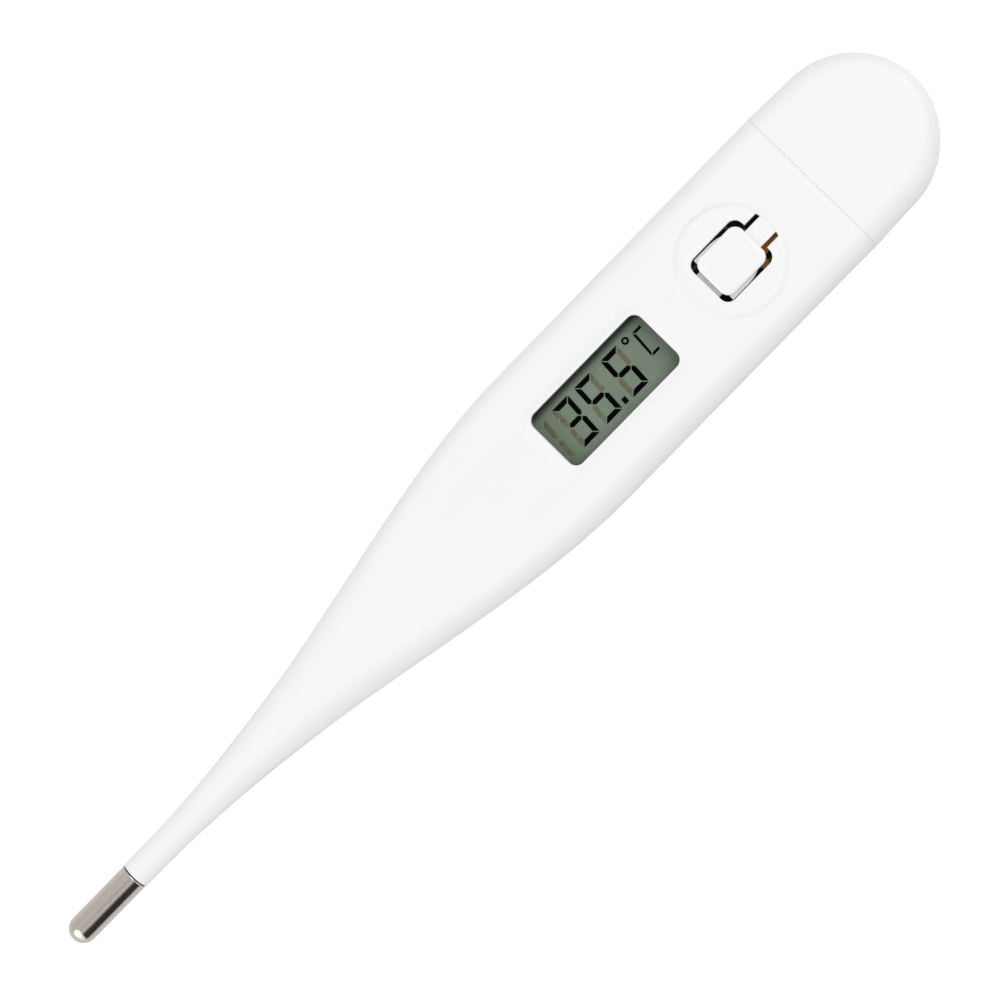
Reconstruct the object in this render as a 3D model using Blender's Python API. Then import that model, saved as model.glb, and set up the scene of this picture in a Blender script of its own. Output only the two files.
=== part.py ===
"""Pen-type digital thermometer, lying on its back with the display up.

The script's sizes are in millimetres, measured along the object from the probe's end (x = 0) to the
tail (x = LENGTH), across it from its long axis (y), and up from the surface it lies on (z).
MM turns them into metres, and the empty named thermometer puts the middle of the length at x = 0.
"""

import math

import bmesh
import bpy
from mathutils import Vector

MM = 0.001

# Outside of the object
LENGTH = 127.0
HALF_WIDTH = 9.25
HALF_THICKNESS = 5.0
AXIS_Z = HALF_THICKNESS
FACE_Z = 2 * HALF_THICKNESS
NECK_RADIUS = 1.64
NECK_X = 9.7
WIDE_FROM_X = 75.0
WIDTH_BEND = 1.185
THICK_FROM_X = 66.0
EDGE_ACROSS = 2.3
EDGE_DOWN = 3.2
SEAM_X = 111.9
TAIL_ARC_X = 117.8
TAIL_RADIUS = 9.05
TAIL_EDGE_SHARE = 0.65

# Moulded walls
WALL = 1.1
PROBE_WALL = 0.85
SPIGOT_X = 5.0
SPIGOT_RADIUS = 1.34
SPIGOT_BORE = 0.72
NECK_END_X = 117.7
NECK_STEP_Y = 1.25
NECK_STEP_Z = 1.0
NECK_WALL = 0.75
COVER_WALL = 0.87
CEILING_Z = FACE_Z - WALL

# Display opening
WINDOW_X = (73.88, 89.69)
WINDOW_HALF_Y = 3.57
WINDOW_CORNER = 1.05
SHOULDER = 1.0
SHOULDER_DEPTH = 0.2

# Button
DISH_X = 100.33
DISH_RADIUS = 5.58
DISH_RIM = 0.55
DISH_DEPTH = 0.35
DISH_Z = FACE_Z - DISH_DEPTH
BUTTON_HOLE_X = (96.79, 103.88)
BUTTON_HOLE_HALF_Y = 3.02
BUTTON_HOLE_CORNER = 1.05
PAD_X = (97.28, 103.44)
PAD_HALF_Y = 2.54
PAD_CORNER = 1.1
PAD_BOTTOM_Z = 8.45
FLANGE_TOP_Z = 8.85
FLANGE_X = (97.63, 101.4)
FLANGE_HALF_Y = 2.89
FLANGE_TAPER = 1.0
LIP_HALF_Y = 1.64
LIP_X = 96.35
ARM_HALF_Y = 1.15
ARM_SLOT = 0.5
HINGE_X = 105.8
HINGE_GAP = 0.08
ARM_BOTTOM_Z = 8.95

# Probe
TIP_RADIUS = 1.59
TIP_WALL = 0.2
TIP_END_X = 9.52
WIRE_RADIUS = 0.1
WIRE_HALF_Y = 0.3

# Inner carrier and what it holds
CARRIER_X = (69.5, 118.2)
CARRIER_HALF_Y = 6.85
CARRIER_Z = (2.1, 7.74)
BOARD_X = (65.0, 106.5)
BOARD_HALF_Y = 5.6
BOARD_Z = (4.2, 5.0)
LCD_X = (72.4, 91.2)
LCD_HALF_Y = 4.9
LCD_TOP_Z = 7.75
LCD_LEDGE_Y = 3.2
GLASS = 0.55
FILM = 0.2
FIT = 0.02
POCKET_X = 107.9
POCKET_HALF_Y = 4.15
POCKET_Z = (2.7, 7.2)
STRIP = 0.2
LEAF_Z = (7.78, 7.93)

# Button cell, a standard 7.9 x 3.6 size
CELL_X = 112.1
CELL_RADIUS = 3.95
CELL_Z = (3.05, 6.65)

# Buzzer
BUZZER_X = 98.0
BUZZER_RADIUS = 6.0
BUZZER_Z = (2.2, 2.4)


def clear_scene():
    for obj in list(bpy.data.objects):
        bpy.data.objects.remove(obj)


def material(name, colour, roughness, metallic=0.0):
    """A Principled BSDF of one colour."""
    made = bpy.data.materials.new(name)
    made.use_nodes = True
    shader = made.node_tree.nodes["Principled BSDF"]
    shader.inputs["Base Color"].default_value = (*colour, 1.0)
    shader.inputs["Roughness"].default_value = roughness
    shader.inputs["Metallic"].default_value = metallic
    made.diffuse_color = (*colour, 1.0)
    return made


def smoothstep(t):
    t = min(max(t, 0.0), 1.0)
    return t * t * (3 - 2 * t)


# ---------------------------------------------------------------- objects


def add_object(name, bm, finish, parent, origin=(0, 0, 0)):
    """Makes an object of a bmesh in millimetres, with its origin at the given point."""
    bmesh.ops.translate(bm, verts=bm.verts, vec=-Vector(origin))
    bmesh.ops.scale(bm, verts=bm.verts, vec=(MM, MM, MM))
    bmesh.ops.recalc_face_normals(bm, faces=bm.faces)
    mesh = bpy.data.meshes.new(name)
    bm.to_mesh(mesh)
    bm.free()
    mesh.shade_smooth()
    mesh.set_sharp_from_angle(angle=math.radians(30))
    obj = bpy.data.objects.new(name, mesh)
    bpy.context.scene.collection.objects.link(obj)
    obj.location = Vector(origin) * MM
    obj.parent = parent
    if finish:
        mesh.materials.append(finish)
    else:
        obj.hide_render = True
        obj.display_type = "WIRE"
    return obj


def empty(name, x, parent=None):
    made = bpy.data.objects.new(name, None)
    bpy.context.scene.collection.objects.link(made)
    made.location = Vector((x, 0, 0)) * MM
    made.parent = parent
    return made


def boolean(target, operation, tools):
    """Joins each tool to the target, or cuts it away. A tool is a hidden object."""
    for tool in tools:
        step = target.modifiers.new(tool.name, "BOOLEAN")
        step.operation = operation
        step.object = tool
        step.solver = "EXACT"


def loft(rings):
    """A closed skin over rings of equally many points, with flat ends."""
    bm = bmesh.new()
    rows = [[bm.verts.new(point) for point in ring] for ring in rings]
    count = len(rows[0])
    for low, high in zip(rows, rows[1:]):
        for i in range(count):
            j = (i + 1) % count
            bm.faces.new((low[i], low[j], high[j], high[i]))
    bm.faces.new(rows[0][::-1])
    bm.faces.new(rows[-1])
    return bm


def box_mesh(xs, ys, zs):
    corners = [(x, y) for x, y in ((xs[0], ys[0]), (xs[1], ys[0]), (xs[1], ys[1]), (xs[0], ys[1]))]
    return loft([[(x, y, z) for x, y in corners] for z in zs])


def prism_mesh(outline, zs):
    """A plan outline drawn up between two heights."""
    return loft([[(x, y, z) for x, y in outline] for z in zs])


def turned_mesh(profile, centre, axis, steps):
    """Turns (along, radius) points around an axis through centre. The profile starts and ends on the axis,
    or closes on itself where it doesn't."""
    along = Vector(axis)
    out = Vector((0, 0, 1)) if axis[0] else Vector((1, 0, 0))
    bm = bmesh.new()
    points = [bm.verts.new(Vector(centre) + along * a + out * r) for a, r in profile]
    pairs = list(zip(points, points[1:]))
    if profile[0][1] > 0:
        pairs.append((points[-1], points[0]))
    edges = [bm.edges.new(pair) for pair in pairs]
    bmesh.ops.spin(
        bm, geom=points + edges, cent=centre, axis=axis, dvec=(0, 0, 0),
        angle=2 * math.pi, steps=steps, use_merge=True,
    )
    bmesh.ops.remove_doubles(bm, verts=bm.verts, dist=0.0005)
    return bm


def disc_mesh(x, y, radius, zs, steps):
    low, high = zs
    return turned_mesh([(low, 0), (low, radius), (high, radius), (high, 0)], (x, y, 0), (0, 0, 1), steps)


def ribbon_mesh(path, ys, thickness=STRIP):
    """A bent strip: a path of (x, z) points made thick and as wide as ys."""
    offsets = []
    for i in range(len(path)):
        before = Vector(path[max(i - 1, 0)])
        after = Vector(path[min(i + 1, len(path) - 1)])
        run = (after - before).normalized()
        offsets.append(Vector((-run.y, run.x)) * thickness / 2)
    top = [Vector(p) + o for p, o in zip(path, offsets)]
    bottom = [Vector(p) - o for p, o in zip(path, offsets)]
    side = top + bottom[::-1]
    return loft([[(p.x, y, p.y) for p in side] for y in ys])


def rounded_rectangle(xs, half_y, corner, steps=5, grow=0.0):
    """Plan outline of a rectangle with round corners, centred on the long axis."""
    x0, x1 = xs[0] - grow, xs[1] + grow
    y, r = half_y + grow, corner + grow
    corners = ((x1 - r, y - r, 0), (x0 + r, y - r, 90), (x0 + r, r - y, 180), (x1 - r, r - y, 270))
    outline = []
    for cx, cy, start in corners:
        for i in range(steps + 1):
            turn = math.radians(start + 90 * i / steps)
            outline.append((cx + r * math.cos(turn), cy + r * math.sin(turn)))
    return outline


def tube(name, points, radius, finish, parent):
    """A wire: a straight-edged curve with round section and closed ends."""
    curve = bpy.data.curves.new(name, "CURVE")
    curve.dimensions = "3D"
    curve.bevel_depth = radius * MM
    curve.bevel_resolution = 2
    curve.use_fill_caps = True
    line = curve.splines.new("POLY")
    line.points.add(len(points) - 1)
    for spot, point in zip(line.points, points):
        spot.co = (*(Vector(point) * MM), 1.0)
    curve.materials.append(finish)
    obj = bpy.data.objects.new(name, curve)
    bpy.context.scene.collection.objects.link(obj)
    obj.parent = parent
    return obj


def smooth_route(knots, per_span):
    """Points of a Catmull-Rom curve through the knots."""
    ends = [knots[0], *knots, knots[-1]]
    route = []
    for p0, p1, p2, p3 in zip(ends, ends[1:], ends[2:], ends[3:]):
        a, b, c, d = (Vector(p) for p in (p0, p1, p2, p3))
        for i in range(per_span):
            t = i / per_span
            route.append(
                0.5 * (2 * b + (c - a) * t + (2 * a - 5 * b + 4 * c - d) * t**2
                       + (3 * b - a - 3 * c + d) * t**3)
            )
    return [*route, Vector(knots[-1])]


# ---------------------------------------------------------------- casing


def half_width(x):
    """Half of the body's width: a slim probe that widens to the grip."""
    t = max(x - NECK_X, 0) / (WIDE_FROM_X - NECK_X)
    return NECK_RADIUS + (HALF_WIDTH - NECK_RADIUS) * smoothstep(t**WIDTH_BEND)


def half_thickness(x):
    t = max(x - NECK_X, 0) / (THICK_FROM_X - NECK_X)
    return NECK_RADIUS + (HALF_THICKNESS - NECK_RADIUS) * smoothstep(t**1.15)


def edge_size(x):
    """Width and height of the rounded edge: the whole section at the probe, a fillet at the grip."""
    t = smoothstep((x - NECK_X) / (WIDE_FROM_X - NECK_X - 10))
    across = half_width(x) * (1 - t) + EDGE_ACROSS * t
    down = half_thickness(x) * (1 - t) + EDGE_DOWN * t
    return across, down


def section(x, width, height, across, down, steps):
    """One ring across the body: a rectangle whose corners are quarter ellipses."""
    ring = []
    for sy, sz, start in ((1, 1, 0), (-1, 1, 90), (-1, -1, 180), (1, -1, 270)):
        for i in range(steps + 1):
            turn = math.radians(start + 90 * i / steps)
            y = sy * (width - across) + across * math.cos(turn)
            z = sz * (height - down) + down * math.sin(turn)
            ring.append((x, y, AXIS_Z + z))
    return ring


def body_stations(first, last, count):
    return [first + (last - first) * i / count for i in range(count + 1)]


def outer_rings(steps):
    """Spigot, probe, grip and the tail neck, from the probe's end backwards."""
    slim = SPIGOT_RADIUS
    rings = [section(x, slim, slim, slim, slim, steps) for x in (SPIGOT_X, NECK_X)]
    for x in [*body_stations(NECK_X, WIDE_FROM_X, 22), SEAM_X]:
        rings.append(section(x, half_width(x), half_thickness(x), *edge_size(x), steps))
    for x in (SEAM_X, NECK_END_X):
        rings.append(
            section(x, HALF_WIDTH - NECK_STEP_Y, HALF_THICKNESS - NECK_STEP_Z, EDGE_ACROSS - 0.8,
                    EDGE_DOWN - 0.8, steps)
        )
    return rings


def inner_rings(steps):
    """The hollow, drawn past both open ends."""
    bore = SPIGOT_BORE
    rings = [section(x, bore, bore, bore, bore, steps) for x in (SPIGOT_X - 1, NECK_X + 3)]
    for x in [*body_stations(NECK_X + 5, WIDE_FROM_X, 16), SEAM_X - 1.5]:
        grown = smoothstep((x - NECK_X) / 30)
        wall = PROBE_WALL + (WALL - PROBE_WALL) * grown
        across, down = edge_size(x)
        rings.append(
            section(x, half_width(x) - wall, half_thickness(x) - wall, across - wall, down - wall, steps)
        )
    width = HALF_WIDTH - NECK_STEP_Y - NECK_WALL
    height = HALF_THICKNESS - NECK_STEP_Z - NECK_WALL
    for x in (SEAM_X - 1.5, NECK_END_X + 1):
        rings.append(section(x, width, height, EDGE_ACROSS - 1.4, EDGE_DOWN - 1.5, steps))
    return rings


def window_cutters(parent):
    """The display opening, and the shallow slope around it."""
    outline = rounded_rectangle(WINDOW_X, WINDOW_HALF_Y, WINDOW_CORNER)
    opening = add_object("cut_window", prism_mesh(outline, (CEILING_Z - 1, FACE_Z + 1)), None, parent)
    levels = ((0.0, FACE_Z - SHOULDER_DEPTH), (SHOULDER, FACE_Z), (SHOULDER, FACE_Z + 1))
    rings = []
    for grow, z in levels:
        outline = rounded_rectangle(WINDOW_X, WINDOW_HALF_Y, WINDOW_CORNER, grow=grow + 0.001)
        rings.append([(x, y, z) for x, y in outline])
    return [opening, add_object("cut_window_slope", loft(rings), None, parent)]


def button_cutters(parent):
    """The round dish, the hole for the pad and the two slots beside its arm."""
    dish = [(DISH_Z, 0), (DISH_Z, DISH_RADIUS), (DISH_Z + 0.1, DISH_RADIUS + 0.3),
            (FACE_Z, DISH_RADIUS + DISH_RIM), (FACE_Z + 1, DISH_RADIUS + DISH_RIM), (FACE_Z + 1, 0)]
    cutters = [add_object("cut_dish", turned_mesh(dish, (DISH_X, 0, 0), (0, 0, 1), 40), None, parent)]
    outline = rounded_rectangle(BUTTON_HOLE_X, BUTTON_HOLE_HALF_Y, BUTTON_HOLE_CORNER, steps=4)
    hole = prism_mesh(outline, (CEILING_Z - 1, FACE_Z + 1))
    cutters.append(add_object("cut_button_hole", hole, None, parent))
    reach = ARM_HALF_Y + ARM_SLOT
    arm_bay = box_mesh((BUTTON_HOLE_X[1] - 1.2, HINGE_X), (-reach, reach), (CEILING_Z - 1, FACE_Z + 1))
    cutters.append(add_object("cut_arm_bay", arm_bay, None, parent))
    return cutters


def make_body_shell(parent):
    white = material("white_casing_plastic", (0.83, 0.83, 0.84), 0.38)
    shell = add_object("body_shell", loft(outer_rings(6)), white, parent)
    hollow = add_object("cut_hollow", loft(inner_rings(5)), None, parent)
    boolean(shell, "DIFFERENCE", [hollow, *window_cutters(parent), *button_cutters(parent)])
    return shell


def make_power_button(parent):
    """Pad, lower flange, stop lip, arm and the nub that meets the switch, in one moulding."""
    white = material("white_button_plastic", (0.84, 0.84, 0.85), 0.36)
    hinge = (HINGE_X, 0, DISH_Z)
    levels = ((0, PAD_BOTTOM_Z), (0, FACE_Z - 0.4), (0.12, FACE_Z - 0.12), (0.4, FACE_Z))
    rings = []
    for inset, z in levels:
        outline = rounded_rectangle(PAD_X, PAD_HALF_Y, PAD_CORNER, grow=-inset)
        rings.append([(x, y, z) for x, y in outline])
    pad = add_object("power_button", loft(rings), white, parent, hinge)
    x0, x1 = FLANGE_X
    y = FLANGE_HALF_Y
    flange = [(x0, -y), (x1 - FLANGE_TAPER, -y), (x1, 1 - y), (x1, y - 1), (x1 - FLANGE_TAPER, y), (x0, y)]
    zs = (PAD_BOTTOM_Z, FLANGE_TOP_Z)
    arm_zs = (ARM_BOTTOM_Z, DISH_Z)
    parts = {
        "join_flange": prism_mesh(flange, zs),
        "join_lip": box_mesh((LIP_X, PAD_X[0] + 1), (-LIP_HALF_Y, LIP_HALF_Y), zs),
        "join_arm": box_mesh((PAD_X[1] - 1, HINGE_X - HINGE_GAP), (-ARM_HALF_Y, ARM_HALF_Y), arm_zs),
        "join_nub": disc_mesh(DISH_X, 0, 0.8, (PAD_BOTTOM_Z - 0.15, PAD_BOTTOM_Z + 0.3), 16),
    }
    boolean(pad, "UNION", [add_object(name, mesh, None, parent) for name, mesh in parts.items()])
    return pad


def tail_outline(wall, edge, wall_steps, arc_steps):
    """Plan outline of the battery cover, from one side round the tail to the other, moved inwards by the
    wall's thickness and by how far the rounded edge has turned in at this level."""
    inset = wall + edge
    side = []
    for i in range(wall_steps):
        t = i / wall_steps
        x = SEAM_X + (TAIL_ARC_X - SEAM_X) * t
        side.append((x, HALF_WIDTH - (HALF_WIDTH - TAIL_RADIUS) * smoothstep(t) - inset))
    arc = []
    for i in range(arc_steps + 1):
        turn = math.radians(90 - 180 * i / arc_steps)
        across = TAIL_RADIUS - inset
        along = LENGTH - TAIL_ARC_X - wall - TAIL_EDGE_SHARE * edge
        arc.append((TAIL_ARC_X + along * math.cos(turn), across * math.sin(turn)))
    other = [(x, -y) for x, y in side[::-1]]
    return side + arc + other


def cover_rings(thick, across, down, wall, start_x, sizes, steps):
    """Level outlines, bottom to top, of a tail-shaped block with rounded edges."""
    rings = []
    for sign in (-1, 1):
        for i in range(steps + 1):
            turn = math.radians(90 * i / steps)
            turn = math.pi / 2 - turn if sign < 0 else turn
            z = AXIS_Z + sign * (thick - down + down * math.sin(turn))
            outline = tail_outline(wall, across * (1 - math.cos(turn)), *sizes)
            rings.append([(x if x > SEAM_X else start_x, y, z) for x, y in outline])
    return rings


def make_battery_cover(parent):
    white = material("white_cover_plastic", (0.83, 0.83, 0.84), 0.38)
    outer = cover_rings(HALF_THICKNESS, EDGE_ACROSS, EDGE_DOWN, 0, SEAM_X + 0.05, (3, 20), 6)
    cover = add_object("battery_cover", loft(outer), white, parent, (SEAM_X, 0, AXIS_Z))
    inner = cover_rings(
        HALF_THICKNESS - COVER_WALL, EDGE_ACROSS - 0.7, EDGE_DOWN - 0.7, COVER_WALL, SEAM_X - 1, (3, 14), 4,
    )
    hollow = add_object("cut_cover", loft(inner), None, parent)
    boolean(cover, "DIFFERENCE", [hollow])
    return cover


def make_display_window(parent):
    clear = material("clear_window_plastic", (0.9, 0.92, 0.92), 0.08)
    xs = (WINDOW_X[0] - 1.2, WINDOW_X[1] + 1.2)
    plate = prism_mesh(rounded_rectangle(xs, 4.85, 0.8, steps=3), (CEILING_Z - 0.82, CEILING_Z - 0.04))
    return add_object("display_window", plate, clear, parent)


# ---------------------------------------------------------------- probe


def dome(start, radius, steps):
    """Profile points of a round end, from the axis at start to the full radius."""
    points = []
    for i in range(steps + 1):
        turn = math.pi / 2 * i / steps
        points.append((start + radius * (1 - math.cos(turn)), radius * math.sin(turn)))
    return points


def make_probe(parent):
    steel = material("stainless_tip", (0.55, 0.53, 0.5), 0.28, 1.0)
    glue = material("brown_glue", (0.12, 0.07, 0.04), 0.5)
    epoxy = material("potting_epoxy", (0.1, 0.1, 0.11), 0.4)
    bead_coat = material("thermistor_coating", (0.25, 0.1, 0.05), 0.35)
    sleeve_plastic = material("sleeve_plastic", (0.6, 0.35, 0.08), 0.4)
    centre = (0, 0, AXIS_Z)
    axis = (1, 0, 0)

    inside = TIP_RADIUS - TIP_WALL
    outer = dome(0, TIP_RADIUS, 6)
    inner = dome(TIP_WALL, inside, 6)
    profile = [*outer, (TIP_END_X, TIP_RADIUS), (TIP_END_X, inside), *inner[::-1]]
    add_object("probe_tip", turned_mesh(profile, centre, axis, 24), steel, parent)

    low, high = SPIGOT_RADIUS + 0.04, TIP_RADIUS - 0.08
    ring = [(TIP_END_X + 0.03, low), (TIP_END_X + 0.03, high), (NECK_X - 0.03, high), (NECK_X - 0.03, low)]
    add_object("tip_glue_ring", turned_mesh(ring, centre, axis, 24), glue, parent)

    fill = inside - 0.04
    bore = 0.64
    profile = [*dome(TIP_WALL + 0.04, fill, 5), (4.9, fill), (4.9, bore), (1.2, bore), (1.2, 0)]
    add_object("tip_potting", turned_mesh(profile, centre, axis, 20), epoxy, parent)

    bead = [(1.3, 0), (1.4, 0.35), (1.8, 0.52), (2.4, 0.52), (2.8, 0.35), (2.9, 0)]
    add_object("thermistor_bead", turned_mesh(bead, centre, axis, 14), bead_coat, parent)

    sleeve = [(5.2, 0.5), (5.2, 0.62), (16.0, 0.62), (16.0, 0.5)]
    add_object("insulation_sleeve", turned_mesh(sleeve, centre, axis, 14), sleeve_plastic, parent)


def make_thermistor_wires(parent):
    """Two enamelled wires from the bead, slack along the floor, to the underside of the board."""
    copper = material("enamelled_copper", (0.45, 0.16, 0.06), 0.35, 0.7)
    board_wire_z = BOARD_Z[0] - WIRE_RADIUS - 0.05
    for name, side in (("thermistor_wire_left", 1), ("thermistor_wire_right", -1)):
        near = WIRE_HALF_Y * side
        knots = [
            (3.0, near, AXIS_Z), (9.0, near, AXIS_Z), (16.0, near, AXIS_Z), (26.0, near * 1.2, 4.4),
            (36.0, near * 2, 3.5), (48.0, near * 3, 2.5), (58.0, near * 4, 1.9), (62.5, near * 5, 2.6),
            (64.6, near * 5, board_wire_z), (65.7, near * 5, board_wire_z),
        ]
        tube(name, smooth_route(knots, 5), WIRE_RADIUS, copper, parent)


# ---------------------------------------------------------------- carrier and electronics


def make_inner_carrier(parent):
    """One moulding: the display's frame, two rails that grip the board, and the battery box."""
    dark = material("dark_carrier_plastic", (0.03, 0.03, 0.035), 0.45)
    block = box_mesh(CARRIER_X, (-CARRIER_HALF_Y, CARRIER_HALF_Y), CARRIER_Z)
    carrier = add_object("inner_carrier", block, dark, parent)
    low, high = CARRIER_Z
    board_low, board_high = BOARD_Z
    side = BOARD_HALF_Y + 0.15
    well_y = LCD_HALF_Y + 0.2
    holes = {
        "cut_lcd_well": ((LCD_X[0] - 0.2, LCD_X[1] + 0.2), (-well_y, well_y), (6.17, high + 1)),
        "cut_under_lcd": ((LCD_X[0] + 0.8, LCD_X[1] - 0.8), (0.5 - well_y, well_y - 0.1), (board_high, 6.3)),
        "cut_board_slot": ((CARRIER_X[0] - 1, BOARD_X[1] + 0.2), (-side, side), (board_low - 0.05, board_high + 0.05)),
        "cut_above_board": ((LCD_X[1] + 1.4, 106.2), (-side, side), (board_high, high + 1)),
        "cut_below_board": ((CARRIER_X[0] + 2, 106.2), (-5.4, 5.4), (low - 1, board_low)),
        "cut_cell_pocket": ((POCKET_X, CARRIER_X[1] + 1), (-POCKET_HALF_Y, POCKET_HALF_Y), POCKET_Z),
        "cut_positive_slot": ((105.8, POCKET_X + 0.1), (-2.5, 0.1), (6.3, POCKET_Z[1] - 0.03)),
        "cut_negative_slot": ((105.8, POCKET_X + 0.1), (-0.1, 2.5), (POCKET_Z[0] + 0.03, 3.7)),
    }
    cutters = [add_object(name, box_mesh(*sizes), None, parent) for name, sizes in holes.items()]
    seat = disc_mesh(BUZZER_X, 0, BUZZER_RADIUS + 0.1, (low - 1, BUZZER_Z[1] + 0.05), 32)
    cutters.append(add_object("cut_buzzer_seat", seat, None, parent))
    boolean(carrier, "DIFFERENCE", cutters)


def make_board(parent):
    """The circuit board with the chip's cover, small components and solder."""
    green = material("green_circuit_board", (0.02, 0.09, 0.05), 0.4)
    black = material("black_chip_epoxy", (0.015, 0.015, 0.015), 0.3)
    ceramic = material("tan_capacitor_ceramic", (0.35, 0.24, 0.14), 0.5)
    resistor = material("black_resistor_film", (0.02, 0.02, 0.025), 0.4)
    solder = material("bright_solder", (0.6, 0.6, 0.62), 0.25, 1.0)
    board = box_mesh(BOARD_X, (-BOARD_HALF_Y, BOARD_HALF_Y), BOARD_Z)
    add_object("circuit_board", board, green, parent)

    under = BOARD_Z[0] - FIT
    cover = [(under, 0), (under, 3.2), (under - 0.5, 2.9), (under - 0.9, 2.0), (under - 1.1, 0)]
    add_object("chip_cover", turned_mesh(cover, (82.0, 0, 0), (0, 0, 1), 20), black, parent)

    on_board = BOARD_Z[1] + FIT
    chips = {
        "resistor_1": (94.6, 2.6, resistor), "resistor_2": (94.6, 4.2, resistor),
        "capacitor_1": (94.6, -2.6, ceramic), "capacitor_2": (94.6, -4.2, ceramic),
    }
    for name, (x, y, finish) in chips.items():
        body = box_mesh((x - 0.8, x + 0.8), (y - 0.4, y + 0.4), (on_board, on_board + 0.5))
        add_object(name, body, finish, parent)

    for name, y in (("solder_joint_1", 1.5), ("solder_joint_2", -1.5)):
        drop = [(under, 0), (under, 0.55), (under - 0.25, 0.45), (under - 0.4, 0)]
        add_object(name, turned_mesh(drop, (66.4, y, 0), (0, 0, 1), 12), solder, parent)


def make_display(parent):
    """The liquid crystal cell, layer by layer from the top, and its elastomer connector."""
    polariser = material("polariser_film", (0.3, 0.34, 0.3), 0.3)
    glass = material("display_glass", (0.6, 0.68, 0.62), 0.1)
    reflector = material("reflector_film", (0.28, 0.32, 0.27), 0.35)
    elastomer = material("zebra_elastomer", (0.08, 0.08, 0.08), 0.6)
    full = (-LCD_HALF_Y, LCD_HALF_Y)
    short = (-LCD_HALF_Y, LCD_LEDGE_Y)
    film_x = (LCD_X[0] + 0.4, LCD_X[1] - 0.4)
    layers = (
        ("lcd_front_polariser", film_x, (-4.6, 4.6), FILM, polariser),
        ("lcd_front_glass", LCD_X, full, GLASS, glass),
        ("lcd_rear_glass", LCD_X, short, GLASS, glass),
        ("lcd_rear_reflector", film_x, (-4.6, LCD_LEDGE_Y - 0.3), FILM, reflector),
    )
    top = LCD_TOP_Z
    for name, xs, ys, thick, finish in layers:
        add_object(name, box_mesh(xs, ys, (top - thick, top)), finish, parent)
        top -= thick + FIT
    ledge_z = LCD_TOP_Z - FILM - GLASS - 2 * FIT
    strip = box_mesh((LCD_X[0] + 1.2, LCD_X[1] - 1.2), (3.5, 4.7), (BOARD_Z[1] + FIT, ledge_z))
    add_object("zebra_connector", strip, elastomer, parent)


def make_switch(parent):
    """The bronze leaf that the button pushes down, and the post that it meets."""
    bronze = material("phosphor_bronze", (0.65, 0.38, 0.12), 0.3, 1.0)
    brass = material("brass_post", (0.7, 0.5, 0.2), 0.3, 1.0)
    outline = [
        (109.6, -1.95), (103.07, -1.95), (103.07, -3.4), (102.09, -3.4), (102.09, -1.5),
        (99.3, -1.5), (99.3, 0.9), (102.4, 0.9), (103.0, -0.75), (109.6, -0.75),
    ]
    add_object("switch_leaf", prism_mesh(outline, LEAF_Z), bronze, parent)
    post = disc_mesh(DISH_X, 0, 0.6, (BOARD_Z[1] + FIT, LEAF_Z[0] - 0.04), 16)
    add_object("switch_post", post, brass, parent)


def make_contacts(parent):
    """The two sprung strips that carry the cell's current to the board."""
    nickel = material("nickel_contact", (0.62, 0.6, 0.55), 0.25, 1.0)
    foot_z = BOARD_Z[1] + STRIP / 2 + FIT
    upper = [(104.4, foot_z), (105.5, foot_z), (105.9, 5.8), (105.9, 6.6), (106.3, 7.0), (110.0, 7.05),
             (112.3, 6.82), (114.6, 7.02)]
    add_object("positive_contact", ribbon_mesh(upper, (-2.3, -0.2)), nickel, parent)
    foot_z = BOARD_Z[0] - STRIP / 2 - FIT
    lower = [(104.4, foot_z), (105.5, foot_z), (105.9, 3.7), (106.5, 3.0), (108.4, 2.9), (110.0, 2.84),
             (112.3, 2.88), (114.6, 2.84)]
    add_object("negative_contact", ribbon_mesh(lower, (0.2, 2.3)), nickel, parent)


def make_buzzer(parent):
    brass = material("brass_disc", (0.75, 0.55, 0.22), 0.3, 1.0)
    ceramic = material("white_piezo_ceramic", (0.75, 0.74, 0.7), 0.5)
    wire = material("buzzer_wire_plastic", (0.5, 0.03, 0.03), 0.45)
    add_object("buzzer_disc", disc_mesh(BUZZER_X, 0, BUZZER_RADIUS, BUZZER_Z, 32), brass, parent)
    top = BUZZER_Z[1] + FIT
    add_object("buzzer_ceramic", disc_mesh(BUZZER_X, 0, 4.5, (top, top + 0.15), 24), ceramic, parent)
    reach = BOARD_Z[0] - 0.05
    leads = {
        "buzzer_lead_ceramic": [(98.0, 0.5, top + 0.35), (99.5, 0.5, 3.3), (101.5, 0.5, reach)],
        "buzzer_lead_disc": [(93.0, 1.0, top + 0.2), (94.5, 1.0, 3.2), (96.5, 1.0, reach)],
    }
    for name, knots in leads.items():
        tube(name, smooth_route(knots, 3), 0.15, wire, parent)


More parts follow.
